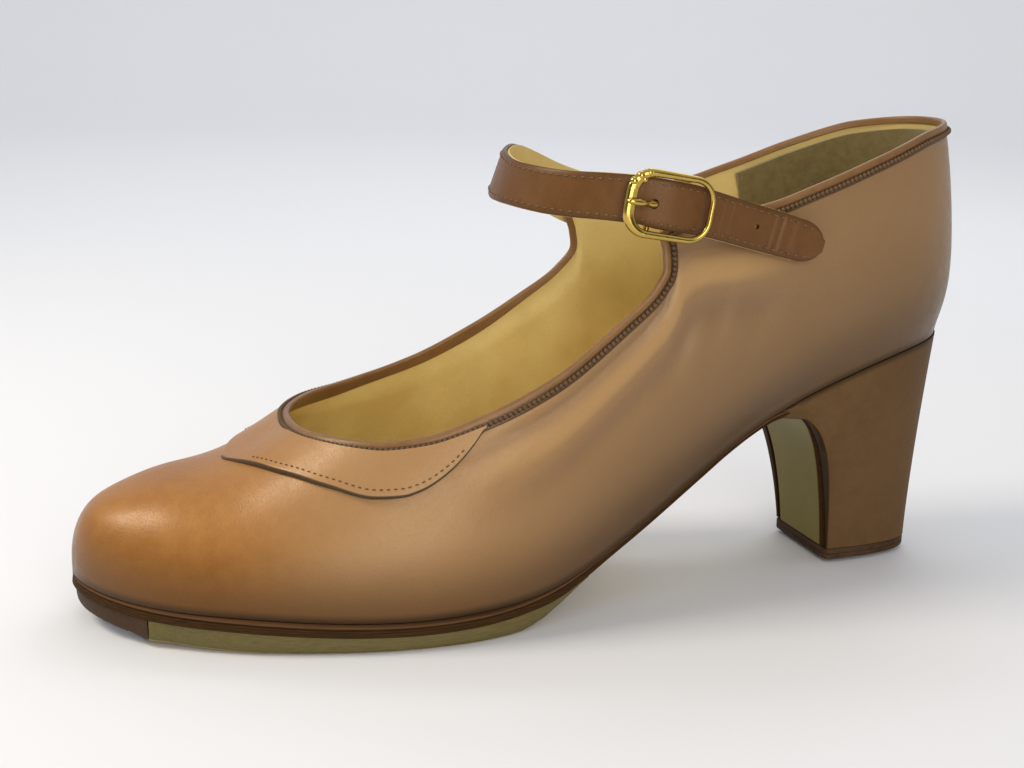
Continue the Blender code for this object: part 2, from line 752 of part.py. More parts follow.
def build_strap(finish):
    """Instep strap, a band with rounded edges swept along its path, pierced for the prong."""
    middle, forward, out, up, above, below = strap_path()
    half = 0.5 * STRAP_THICK
    rings = []
    for i in range(len(middle)):
        high, low = above[i], below[i]
        profile = ((half, high - 0.5), (half - 0.45, high), (-half + 0.45, high), (-half, high - 0.5),
                   (-half, -low + 0.5), (-half + 0.45, -low), (half - 0.45, -low), (half, -low + 0.5))
        rings.append([middle[i] + out[i] * n + up[i] * u for n, u in profile])
    strap = loft("strap", rings, finish)
    centre, along, away, across = buckle_frame()
    turn = np.arange(10) * 2.0 * math.pi / 10.0
    middle_hole = centre + along * BUCKLE_PIVOT
    circle = [middle_hole + (along * math.cos(a) + across * math.sin(a)) * PRONG_HOLE for a in turn]
    hole = loft("prong_hole", [np.array(circle) - away * 3.0, np.array(circle) + away * 3.0])
    return boolean(strap, hole, "DIFFERENCE")


def buckle_frame():
    """Middle of the strap under the buckle with its forward, outward and upward directions."""
    middle, forward, out, up = strap_path()[:4]
    half = len(middle) // 2
    i = half + int(np.argmin(np.abs(middle[half:, 0] - BUCKLE_X)))
    return middle[i], -forward[i], out[i], up[i]


def tube(name, points, radius, finish=None, closed=False, scale=None):
    """Round wire along points, as a mesh."""
    curve = bpy.data.curves.new(name, "CURVE")
    curve.dimensions = "3D"
    line = curve.splines.new("POLY")
    line.points.add(len(points) - 1)
    for k, point in enumerate(points):
        line.points[k].co = (*(np.asarray(point, float) * MM).tolist(), 1.0)
        line.points[k].radius = 1.0 if scale is None else scale[k]
    line.use_cyclic_u = closed
    curve.bevel_depth = radius * MM
    curve.bevel_resolution = 2
    curve.use_fill_caps = True
    shape = bpy.data.objects.new(name + "_line", curve)
    CUTTERS.objects.link(shape)
    bpy.context.view_layer.update()
    view = shape.evaluated_get(bpy.context.evaluated_depsgraph_get())
    mesh = bpy.data.meshes.new_from_object(view)
    bpy.data.objects.remove(shape)
    mesh.materials.clear()
    item = bpy.data.objects.new(name, mesh)
    if finish is None:
        CUTTERS.objects.link(item)
        item.hide_render = True
        item.display_type = "WIRE"
    else:
        PARTS.objects.link(item)
        mesh.materials.append(finish)
    weld = bmesh.new()
    weld.from_mesh(mesh)
    bmesh.ops.remove_doubles(weld, verts=weld.verts[:], dist=1e-6)
    bmesh.ops.recalc_face_normals(weld, faces=weld.faces[:])
    weld.to_mesh(mesh)
    weld.free()
    return item


def build_buckle(gold, prong_gold):
    """Rounded frame with a bar dropped behind the strap, and the prong that lies over the front bar."""
    centre, along, away, across = buckle_frame()
    lift = 0.5 * STRAP_THICK + GAP + BUCKLE_WIRE + 0.25
    half_long = 0.5 * BUCKLE_LENGTH - BUCKLE_WIRE
    half_high = 0.5 * BUCKLE_HEIGHT - BUCKLE_WIRE
    ring, weight = [], []
    for sx, sy, first in ((1, 1, 0), (-1, 1, 90), (-1, -1, 180), (1, -1, 270)):
        for k in range(5):
            turn = math.radians(first + 22.5 * k)
            a = sx * (half_long - BUCKLE_CORNER) + BUCKLE_CORNER * math.cos(turn)
            b = sy * (half_high - BUCKLE_CORNER) + BUCKLE_CORNER * math.sin(turn)
            bow = -1.1 * (a / half_long) ** 2
            ring.append(centre + along * a + across * b + away * (lift + bow * 0.25))
            weight.append(1.0 + 0.22 * max(a / half_long, 0.0))
    frame = tube("buckle_frame", ring, BUCKLE_WIRE, gold, True, weight)
    drop = -0.5 * STRAP_THICK - GAP - BUCKLE_BAR - 0.1
    side = ((half_high, lift), (half_high, drop + 0.7), (half_high - 0.7, drop))
    route = side + tuple((-b, d) for b, d in reversed(side))
    pivot = centre + along * BUCKLE_PIVOT
    bar = [pivot + across * b + away * d for b, d in route]
    boolean(frame, tube("buckle_bar", bar, BUCKLE_BAR), "UNION")
    over = lift + BUCKLE_WIRE * 1.22 + GAP + PRONG_WIRE
    skim = 0.5 * STRAP_THICK + GAP + PRONG_WIRE + 0.1
    reach = half_long - BUCKLE_PIVOT
    places = (
        (0.0, drop + BUCKLE_BAR + PRONG_WIRE * 0.2 + GAP),
        (0.0, skim - 0.8),
        (0.5, skim + 0.1),
        (2.0, skim + 0.5),
        (4.2, over - 0.4),
        (reach - 0.6, over),
        (reach + 0.6, over),
        (reach + 1.3, over - 0.3),
    )
    prong = [pivot + along * a + away * d for a, d in places]
    tube("buckle_prong", prong, PRONG_WIRE, prong_gold)
    return frame


def build_tab(finish):
    """Leather tab between the quarter and the strap, behind the buckle's bar."""
    centre = buckle_frame()[0]
    inner = centre[1] - 0.5 * STRAP_THICK - 2.0 * GAP - 2.0 * BUCKLE_BAR - 0.2 - 0.5 * TAB_THICK
    half = 0.5 * TAB_THICK
    profile = ((half, TAB_HALF), (-half, TAB_HALF), (-half, -TAB_HALF), (half, -TAB_HALF))
    rings = []
    for back, drop in ((-2.0, 0.4), (4.0, 1.2), (11.0, 2.6), (17.0, 4.0)):
        x, z = centre[0] - back, centre[2] - drop
        rings.append([(x, inner + n, z + u) for n, u in profile])
    return loft("buckle_tab", rings, finish)


def settle():
    """Move all the parts so that the origin lies under the middle of their box."""
    bpy.context.view_layer.update()
    graph = bpy.context.evaluated_depsgraph_get()
    corners = []
    for item in PARTS.objects:
        shape = item.evaluated_get(graph)
        mesh = shape.to_mesh()
        corners.append(np.array([v.co[:] for v in mesh.vertices]))
        shape.to_mesh_clear()
    points = np.concatenate(corners)
    low, high = points.min(axis=0), points.max(axis=0)
    shift = (-0.5 * (low[0] + high[0]), -0.5 * (low[1] + high[1]), -low[2])
    for item in list(PARTS.objects) + list(CUTTERS.objects):
        item.location = shift


def build():
    """Make every piece of the shoe."""
    clear_scene()
    tan = (0.36, 0.20, 0.11)
    brown = (0.16, 0.085, 0.045)
    cream = (0.62, 0.47, 0.26)
    angles = rib_angles()
    skin = np.array([rib(a) for a in angles])
    normals = grid_normals(skin)
    build_upper(skin, material("upper_leather", tan, 0.5))
    build_binding(skin, normals, material("binding_leather", (0.25, 0.14, 0.08), 0.5))
    build_overlay(angles, skin, normals, material("overlay_leather", tan, 0.5))
    build_insole(material("insole_leather", cream, 0.7))
    build_outsole(material("outsole_leather", cream, 0.45))
    half_turns = sole_angles(HALF_SOLE_BACK, TOE_SPLIT, 15)
    bottom_plate("half_sole", half_turns, material("half_sole_leather", (0.55, 0.38, 0.2), 0.75), -1)
    toe_turns = sole_angles(TOE_SPLIT + GAP, LENGTH, 9)
    toe_turns[-1] -= 0.035
    bottom_plate("toe_piece", toe_turns, material("toe_piece_leather", brown, 0.6), 0)
    build_toe_nails(material("toe_nail_steel", (0.55, 0.56, 0.58), 0.35, 1.0))
    build_heel(material("heel_cover_leather", tan, 0.5))
    lift = [tip_ring(LIFT_Z[0], 0.4), tip_ring(LIFT_Z[0] + 0.4), tip_ring(LIFT_Z[1])]
    loft("heel_lift", lift, material("lift_leather", brown, 0.6))
    build_heel_nails(material("heel_nail_steel", (0.55, 0.56, 0.58), 0.35, 1.0))
    build_strap(material("strap_leather", (0.3, 0.17, 0.1), 0.5))
    gold = material("buckle_brass", (0.75, 0.55, 0.2), 0.25, 1.0)
    build_buckle(gold, material("prong_brass", (0.75, 0.55, 0.2), 0.25, 1.0))
    build_tab(material("tab_leather", tan, 0.5))
    settle()


build()
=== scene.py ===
"""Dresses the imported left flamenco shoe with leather, lining, stitches, nails and buckle, and sets its stage.

Places are in millimetres from the back of the heel, with the toe along +X, the outer side along +Y and
the floor at z = 0. MM and PLACE turn them into metres in the frame.
"""

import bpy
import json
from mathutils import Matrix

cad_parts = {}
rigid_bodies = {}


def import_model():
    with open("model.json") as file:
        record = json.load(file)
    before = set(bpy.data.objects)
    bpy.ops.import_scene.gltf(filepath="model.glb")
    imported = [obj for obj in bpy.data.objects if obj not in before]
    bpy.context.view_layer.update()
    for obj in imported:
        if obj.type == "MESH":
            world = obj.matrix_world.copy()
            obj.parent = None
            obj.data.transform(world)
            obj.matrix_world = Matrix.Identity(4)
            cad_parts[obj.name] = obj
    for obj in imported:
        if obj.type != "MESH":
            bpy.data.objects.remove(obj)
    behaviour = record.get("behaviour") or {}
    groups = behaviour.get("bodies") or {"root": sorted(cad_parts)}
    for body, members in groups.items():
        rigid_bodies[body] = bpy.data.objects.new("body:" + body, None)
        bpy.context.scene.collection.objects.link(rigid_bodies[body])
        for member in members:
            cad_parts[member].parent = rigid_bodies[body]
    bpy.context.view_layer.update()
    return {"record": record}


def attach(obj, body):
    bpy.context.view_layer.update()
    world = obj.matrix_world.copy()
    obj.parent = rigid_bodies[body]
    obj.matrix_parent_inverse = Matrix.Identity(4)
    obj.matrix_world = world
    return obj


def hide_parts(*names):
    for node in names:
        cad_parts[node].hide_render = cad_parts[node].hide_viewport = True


bl_info = {
    "name": "Flamenco Shoe Dressing",
    "version": (1, 0, 0),
    "blender": (4, 5, 0),
    "location": "View3D > Sidebar > Shoe",
    "description": "Builds the leathers, sewing and metal of a flamenco shoe over its solids",
    "category": "Object",
}

import json
import math

import bmesh
import bpy
import numpy as np
from mathutils import Matrix, Vector

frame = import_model()

MM = 0.001
BODY = "root"
REST_STATION = 150.0
REST = next(m for m in frame["record"]["mounts"] if m["name"] == "forepart_rest")
PLACE = np.array(REST["pos_m"]) / MM - (REST_STATION, 0.0, 0.0)

# The last. Widths are signed places of the two sides, feather is the height of the line where upper
# and sole meet, rise is the crown's height above it, and the tucks are how far the feather lies inside.
LENGTH = 223.5
WALL = 2.0
SECTION_POWER = 2.4
TUCK_FADE = 9.0
LAST_COLUMNS = ("x", "lateral", "medial", "feather", "rise", "tuck_lateral", "tuck_medial")
LAST = (
    (0.0, 0.0, 0.0, 59.6, 0.0, 3.6, 3.6),
    (12.0, 20.2, -20.2, 58.7, 73.0, 3.3, 3.3),
    (30.0, 26.9, -26.9, 55.4, 93.0, 3.4, 3.4),
    (45.0, 28.2, -28.0, 49.6, 110.0, 5.0, 5.2),
    (62.0, 28.6, -28.0, 40.5, 128.0, 7.0, 9.0),
    (85.0, 29.6, -28.2, 25.6, 142.0, 5.0, 11.2),
    (102.0, 31.8, -29.8, 15.4, 128.0, 3.3, 10.4),
    (117.0, 35.4, -33.8, 9.6, 95.0, 2.0, 5.4),
    (134.0, 39.0, -38.8, 7.3, 67.0, 1.6, 2.3),
    (147.0, 39.7, -40.4, 6.8, 55.5, 1.5, 1.7),
    (160.0, 38.6, -40.4, 6.9, 46.0, 1.5, 1.5),
    (174.6, 35.4, -38.2, 7.5, 35.6, 1.5, 1.5),
    (187.0, 31.7, -34.8, 8.3, 28.3, 1.5, 1.5),
    (200.0, 26.2, -29.8, 9.0, 25.0, 1.5, 1.5),
    (210.0, 19.8, -23.6, 9.8, 21.5, 1.3, 1.3),
    (218.5, 11.2, -15.2, 11.0, 15.8, 1.0, 1.0),
    (223.5, -2.4, -2.4, 12.4, 0.0, 0.8, 0.8),
)

# The collar edge: for the line of leather that starts at station foot_x, where its top end lies.
COLLAR_COLUMNS = ("foot_x", "lateral_x", "lateral_z", "medial_x", "medial_z")
COLLAR = (
    (0.0, 5.2, 113.0, 5.2, 113.0),
    (14.0, 17.5, 110.4, 17.5, 110.4),
    (30.0, 34.0, 105.0, 34.0, 105.0),
    (45.0, 51.0, 99.0, 51.0, 99.0),
    (58.0, 66.0, 94.4, 66.8, 94.8),
    (67.0, 77.0, 93.0, 81.0, 93.8),
    (74.0, 86.0, 92.0, 92.0, 92.2),
    (79.5, 91.0, 89.0, 95.0, 87.8),
    (84.0, 90.2, 85.4, 93.6, 83.4),
    (89.0, 90.0, 81.6, 93.0, 79.4),
    (97.0, 92.6, 76.6, 97.4, 73.2),
    (107.0, 102.6, 68.2, 106.4, 66.6),
    (121.5, 118.0, 57.6, 119.0, 58.6),
    (138.0, 134.6, 50.1, 134.6, 51.0),
    (153.0, 147.0, 46.0, 147.0, 47.5),
    (168.0, 157.2, 44.5, 157.6, 45.7),
    (186.0, 165.2, 44.5, 165.6, 45.3),
    (204.0, 170.2, 44.4, 170.4, 44.8),
    (223.5, 172.4, 44.4, 172.4, 44.4),
)
# Ribs of leather on each side between stations.
RIB_COUNTS = ((0.0, 66.0, 66), (66.0, 100.0, 72), (100.0, 206.0, 90), (206.0, LENGTH, 42))
SKIN_ROWS = 52

# How far the throat overlay reaches down each line of leather from the collar edge.
OVERLAY_COLUMNS = ("foot_x", "lateral", "medial")
OVERLAY = (
    (137.0, 2.9, 2.9),
    (140.0, 5.4, 5.4),
    (144.0, 8.4, 8.4),
    (149.0, 10.8, 11.0),
    (153.0, 12.1, 12.6),
    (157.0, 12.8, 13.7),
    (164.0, 12.8, 14.3),
    (178.0, 11.9, 14.2),
    (190.0, 11.7, 14.0),
    (201.0, 12.3, 14.4),
    (210.0, 13.1, 15.0),
    (217.5, 14.4, 15.8),
    (222.0, 16.1, 16.6),
    (223.5, 17.8, 17.8),
)

# Sole layers by station: thickness of the outsole, how far it stands out, and the lower face.
OUTSOLE_THICK = ((58.0, 2.2), (72.0, 1.4), (102.0, 1.5), (116.0, 2.8), (223.5, 2.8))
SOLE_MARGIN = (
    (60.0, -0.2),
    (110.0, -0.2),
    (136.0, 1.2),
    (185.0, 1.2),
    (208.0, 0.4),
    (223.5, -0.2),
)
SOLE_BOTTOM = (
    (107.0, 8.0),
    (113.0, 4.2),
    (120.0, 1.3),
    (127.0, 0.1),
    (131.0, 0.0),
    (178.0, 0.0),
    (190.0, 0.3),
    (208.0, 1.5),
    (224.0, 4.6),
)
GAP = 0.3
HALF_SOLE_BACK = 107.0
TOE_SPLIT = 207.8
TOE_JOINT = 0.25
# Slope of the outsole under the toe.
TOE_SLOPE = 0.16
WAIST_START = 58.0
# Flap that runs from the heel tip up the breast to the waist: x, z and half width of its inner face.
FLAP_THICK = 2.4
FLAP = (
    (34.1, 4.3, 12.9),
    (34.8, 12.0, 13.2),
    (36.3, 22.0, 13.9),
    (38.6, 31.0, 15.1),
    (42.3, 38.4, 17.0),
    (46.2, 42.3, 19.0),
    (50.2, 44.0, 20.6),
    (54.2, 43.9, 21.4),
)

# Heel.
LIFT_Z = (0.9, 4.0)
TIP_BACK = 8.6
TIP_FRONT = 36.6
TIP_HALF = 14.0
SEAT_FRONT = 51.0
SEAT_MARGIN = 0.3
HEEL_FLARE = 1.35

# The strap from its root on the inner side over the instep to its tail on the outer side: x, y and z of
# its middle, its width above and below that, and its lean.
STRAP = (
    (70.0, -29.0, 88.4, 4.6, 5.0, 0.0),
    (80.0, -29.3, 90.2, 5.2, 7.0, 0.0),
    (90.0, -29.1, 92.2, 5.6, 8.2, 0.0),
    (98.0, -27.6, 94.6, 5.8, 7.0, 0.08),
    (106.0, -23.6, 97.8, 6.0, 5.6, 0.2),
    (113.2, -16.8, 100.4, 6.0, 5.4, 0.32),
    (118.6, -8.6, 100.9, 5.4, 5.6, 0.36),
    (121.0, 0.6, 100.4, 5.0, 5.8, 0.36),
    (120.8, 9.6, 99.9, 4.7, 5.4, 0.34),
    (117.6, 17.8, 99.0, 5.0, 5.1, 0.28),
    (112.0, 24.6, 98.5, 5.1, 5.1, 0.2),
    (105.4, 29.4, 98.1, 5.4, 5.0, 0.08),
    (99.0, 32.0, 97.4, 5.6, 5.0, 0.0),
    (94.2, 32.8, 96.6, 5.7, 5.4, 0.0),
    (88.0, 32.8, 95.5, 5.6, 5.4, 0.0),
    (81.0, 31.9, 93.8, 5.3, 5.2, 0.0),
    (74.0, 30.6, 91.8, 5.1, 5.1, 0.0),
    (67.0, 29.8, 89.8, 5.1, 5.1, 0.0),
    (59.0, 29.5, 87.5, 4.9, 4.9, 0.0),
    (53.5, 29.4, 85.9, 4.0, 4.0, 0.0),
    (51.6, 29.4, 85.4, 2.4, 2.4, 0.0),
)
STRAP_HALF = 0.9
# Row of the table where the creased tail starts.
STRAP_TAIL = 15
# Sections of the strap before its tail, along it, and round its end.
STRAP_SECTIONS = (170, 100, 19)
BUCKLE_X = 92.8
BUCKLE_HALF_LONG = 9.6
BUCKLE_HALF_HIGH = 6.8
BUCKLE_CORNER = 4.8
BUCKLE_WIRE = 1.1
BUCKLE_BAR = 0.7
BUCKLE_PIVOT = 3.2
PRONG_WIRE = 0.75

# Where the photograph was taken from, the point it looks at, its tilt and its lens.
CAMERA_PLACE = (228.98, 340.91, 135.54)
CAMERA_AIM = (117.66, 0.0, 49.72)
CAMERA_ROLL = 0.673
CAMERA_LENS = 53.2
CAMERA_SENSOR = 36.0


# Curves and sections of the last

def natural(places, values):
    """Natural cubic curve through a column of a table; values may be numbers or points."""
    p = np.asarray(places, float)
    v = np.asarray(values, float)
    step = np.diff(p)
    count = len(p)
    system = np.eye(count)
    right = np.zeros(v.shape)
    for i in range(1, count - 1):
        system[i, i - 1:i + 2] = step[i - 1], 2.0 * (step[i - 1] + step[i]), step[i]
        right[i] = 6.0 * ((v[i + 1] - v[i]) / step[i] - (v[i] - v[i - 1]) / step[i - 1])
    bend = np.linalg.solve(system, right)

    def value(q):
        q = np.asarray(q, float)
        i = np.clip(np.searchsorted(p, q) - 1, 0, count - 2)
        a = (p[i + 1] - q) / step[i]
        b = (q - p[i]) / step[i]
        size = step[i] ** 2 / 6.0
        if v.ndim > 1:
            a, b, size = a[..., None], b[..., None], size[..., None]
        return a * v[i] + b * v[i + 1] + ((a ** 3 - a) * bend[i] + (b ** 3 - b) * bend[i + 1]) * size

    return value


def steady(places, values):
    """Curve through a column of a table that never swings past its rows and is level at both ends."""
    p = np.asarray(places, float)
    v = np.asarray(values, float)
    step = np.diff(p)
    slope = np.diff(v) / step
    grade = np.zeros(len(p))
    for i in range(1, len(p) - 1):
        if slope[i - 1] * slope[i] > 0.0:
            before = 2.0 * step[i] + step[i - 1]
            after = step[i] + 2.0 * step[i - 1]
            grade[i] = (before + after) / (before / slope[i - 1] + after / slope[i])

    def value(q):
        q = np.asarray(q, float)
        i = np.clip(np.searchsorted(p, q) - 1, 0, len(p) - 2)
        t = (q - p[i]) / step[i]
        rise = v[i] * (2 * t ** 3 - 3 * t ** 2 + 1) + v[i + 1] * (3 * t ** 2 - 2 * t ** 3)
        return rise + (grade[i] * (t ** 3 - 2 * t ** 2 + t) + grade[i + 1] * (t ** 3 - t ** 2)) * step[i]

    return value


def turn_of(x):
    """Angle round the last at a station."""
    return np.arccos(np.clip(1.0 - 2.0 * np.asarray(x, float) / LENGTH, -1.0, 1.0))


def station(turn):
    """Distance from the back of the heel at an angle round the last."""
    return 0.5 * LENGTH * (1.0 - np.cos(turn))


def table_curves(columns, rows, kind):
    """One curve for each column of a table, over the angle of its first column."""
    table = np.array(rows, float)
    turn = turn_of(table[:, 0])
    return {name: kind(turn, table[:, k]) for k, name in enumerate(columns) if k}


LAST_CURVES = table_curves(LAST_COLUMNS, LAST, natural)


def last(name, x):
    """Value of a column of the last at a station."""
    return LAST_CURVES[name](turn_of(x))


def collar_rows():
    """Collar table with its two midline rows set on the crown of the last."""
    rows = [list(row) for row in COLLAR]
    for row in (rows[0], rows[-1]):
        row[2] = row[4] = float(last("feather", row[1]) + last("rise", row[1]))
    return rows


COLLAR_CURVES = table_curves(COLLAR_COLUMNS, collar_rows(), steady)
OVERLAY_CURVES = table_curves(OVERLAY_COLUMNS, OVERLAY, steady)


def side_name(turn):
    """Side of the shoe at an angle: heel, outer side, toe, inner side."""
    return "lateral" if turn % (2.0 * math.pi) <= math.pi else "medial"


def fold(turn):
    """Angle counted from the heel on either side."""
    turned = turn % (2.0 * math.pi)
    return min(turned, 2.0 * math.pi - turned)


def outline(turn):
    """Widest line of the last in plan."""
    return np.array((station(fold(turn)), float(LAST_CURVES[side_name(turn)](fold(turn)))))


def outward(turn):
    """Outward direction of the widest line in plan."""
    step = outline(turn + 0.004) - outline(turn - 0.004)
    step = step / np.linalg.norm(step)
    return np.array((-step[1], step[0]))


def tuck_at(turn):
    """How far the feather lies inside the widest line."""
    return float(LAST_CURVES["tuck_" + side_name(turn)](fold(turn)))


def feather(turn, margin=0.0):
    """Line where upper and sole meet, in plan, moved out by a margin."""
    return outline(turn) + outward(turn) * (margin - tuck_at(turn))


def feather_z(x):
    """Height of the feather line at a station."""
    return last("feather", np.clip(x, 0.0, LENGTH))


def crown(x, y):
    """Height of the last over the feather line at a place in plan."""
    lateral, medial = last("lateral", x), last("medial", x)
    half = np.maximum(0.5 * (lateral - medial), 1e-6)
    across = np.clip(np.abs(y - 0.5 * (lateral + medial)) / half, 0.0, 1.0)
    return last("rise", x) * np.sqrt(1.0 - across ** SECTION_POWER)


def collar_point(turn):
    """Top end in plan of the line of leather that starts at an angle."""
    side = side_name(turn)
    x = float(COLLAR_CURVES[side + "_x"](fold(turn)))
    z = float(COLLAR_CURVES[side + "_z"](fold(turn)))
    lateral, medial = float(last("lateral", x)), float(last("medial", x))
    share = np.clip((z - last("feather", x)) / last("rise", x), 0.0, 1.0)
    across = float((1.0 - share ** 2) ** (1.0 / SECTION_POWER))
    sign = 1.0 if side == "lateral" else -1.0
    return np.array((x, 0.5 * (lateral + medial) + sign * across * 0.5 * (lateral - medial)))


def rib(turn, rows):
    """Points of one line of leather from the feather up to the collar, evenly spaced."""
    start, end = outline(turn), collar_point(turn)
    plan = start + (end - start) * np.linspace(0.0, 1.0, 241)[:, None] ** 2
    height = crown(plan[:, 0], plan[:, 1])
    fade = np.exp(-(height / TUCK_FADE) ** 1.5)
    plan = plan - outward(turn) * (tuck_at(turn) * fade)[:, None]
    points = np.column_stack((plan, feather_z(plan[:, 0]) + height))
    run = run_along(points)
    places = np.linspace(0.0, run[-1], rows)
    return np.column_stack([np.interp(places, run, points[:, k]) for k in range(3)])


def rib_turns():
    """Angles of all the ribs, once round from the back of the heel."""
    outer = []
    for first, end, count in RIB_COUNTS:
        outer.extend(np.linspace(float(turn_of(first)), float(turn_of(end)), count, endpoint=False))
    return np.array(outer + [math.pi] + [2.0 * math.pi - a for a in reversed(outer[1:])])


def unit(vectors):
    """Vectors of length one."""
    v = np.asarray(vectors, float)
    return v / np.linalg.norm(v, axis=-1, keepdims=True)


def run_along(points):
    """Distance along a line of points."""
    return np.concatenate(((0.0,), np.cumsum(np.linalg.norm(np.diff(points, axis=0), axis=1))))


def bump_at(value, centre, width):
    """Soft bump of height one about a centre."""
    return np.exp(-((np.asarray(value, float) - centre) / width) ** 2)


def eased(value, low, high):
    """Share from 0 to 1 that starts and ends softly."""
    t = np.clip((np.asarray(value, float) - low) / (high - low), 0.0, 1.0)
    return t * t * (3.0 - 2.0 * t)


class Skin:
    """The outer face of the upper as ribs from feather to collar, with directions and distances."""

    def __init__(self):
        self.turns = rib_turns()
        self.points = np.array([rib(turn, SKIN_ROWS) for turn in self.turns])
        along = np.roll(self.points, -1, axis=0) - np.roll(self.points, 1, axis=0)
        self.normals = unit(np.cross(np.gradient(self.points, axis=1), along))
        steps = np.linalg.norm(np.diff(self.points, axis=1), axis=2)
        start = np.zeros((len(self.turns), 1))
        self.rise = np.concatenate((start, np.cumsum(steps, axis=1)), axis=1)
        self.drop = self.rise[:, -1:] - self.rise

    def at(self, turn, drop):
        """Point and outward direction at an angle and a distance down from the collar edge."""
        place = np.interp(turn % (2.0 * math.pi), np.append(self.turns, 2.0 * math.pi),
                          np.arange(len(self.turns) + 1))
        first = int(place)
        found = []
        for j in (first % len(self.turns), (first + 1) % len(self.turns)):
            down = self.drop[j, ::-1]
            rows = np.concatenate((self.points[j, ::-1], self.normals[j, ::-1]), axis=1)
            found.append([np.interp(drop, down, rows[:, k]) for k in range(6)])
        mixed = np.array(found[0]) + (np.array(found[1]) - np.array(found[0])) * (place - first)
        return mixed[:3], unit(mixed[3:])

    def line(self, turns, drops):
        """Points and outward directions along a line on the skin."""
        found = [self.at(turn, drop) for turn, drop in zip(turns, drops)]
        return np.array([f[0] for f in found]), np.array([f[1] for f in found])


SKIN = Skin()

# Soft creases in the leather: side of the shoe, the two ends (x, z), half width and depth.
CREASES = (
    (1.0, (62.0, 76.0), (71.0, 58.0), 3.2, 0.26),
    (1.0, (73.0, 79.0), (79.0, 63.0), 2.6, 0.24),
    (1.0, (82.5, 72.0), (89.0, 55.0), 3.0, 0.22),
    (1.0, (45.0, 84.0), (50.0, 66.0), 4.0, 0.22),
    (1.0, (112.0, 30.0), (132.0, 22.0), 4.5, 0.2),
    (-1.0, (60.0, 74.0), (68.0, 56.0), 3.4, 0.26),
    (-1.0, (78.0, 72.0), (84.0, 52.0), 3.2, 0.24),
    (-1.0, (118.0, 33.0), (136.0, 24.0), 4.0, 0.2),
)


def creased(points):
    """How far the leather sinks at each point for its creases, with a low ridge beside each trough."""
    sink = np.zeros(points.shape[:-1])
    for side, first, end, width, depth in CREASES:
        flat = points[..., (0, 2)] - first
        span = np.subtract(end, first)
        share = (flat @ span) / (span @ span)
        off = (flat @ np.array((span[1], -span[0]))) / np.linalg.norm(span)
        taper = eased(share, -0.25, 0.3) * (1.0 - eased(share, 0.7, 1.25)) * (points[..., 1] * side > 0.0)
        trough = bump_at(off, 0.0, width) - 0.6 * bump_at(off, 1.7 * width, width)
        sink += depth * taper * trough
    return sink


# Hollows and swells of the quarter along the collar: distance below it, half width and depth.
COLLAR_SWELLS = ((4.0, 0.9, -0.22), (6.8, 1.7, 0.42), (13.2, 4.2, -0.5), (21.5, 4.6, 0.42))
SWELL_START = (56.0, 86.0)
SWELL_END = (122.0, 160.0)


def collar_swell():
    """How far the quarter's leather sinks in the hollows along the collar and rises on the swells."""
    x, drop = SKIN.points[..., 0], SKIN.drop
    reach = eased(x + 0.6 * drop, *SWELL_START) * (1.0 - eased(x + 0.6 * drop, *SWELL_END))
    sides = np.where(SKIN.points[..., 1] > 0.0, 1.0, 0.6)
    return reach * sides * sum(depth * bump_at(drop, at, width) for at, width, depth in COLLAR_SWELLS)


# Materials

class Value:
    """A shader socket that Python arithmetic turns into Math nodes."""

    def __init__(self, finish, socket):
        self.finish = finish
        self.socket = socket

    def math(self, operation, *values):
        return self.finish.node("ShaderNodeMath", {"operation": operation}, *values)

    def __add__(self, other):
        return self.math("ADD", self, other)

    __radd__ = __add__

    def __sub__(self, other):
        return self.math("SUBTRACT", self, other)

    def __rsub__(self, other):
        return self.math("SUBTRACT", other, self)

    def __mul__(self, other):
        return self.math("MULTIPLY", self, other)

    __rmul__ = __mul__

    def between(self, low, high):
        """Share from 0 to 1, soft at both ends, as the value goes from low to high."""
        settings = {"interpolation_type": "SMOOTHSTEP"}
        return self.finish.node("ShaderNodeMapRange", settings, self, low, high)


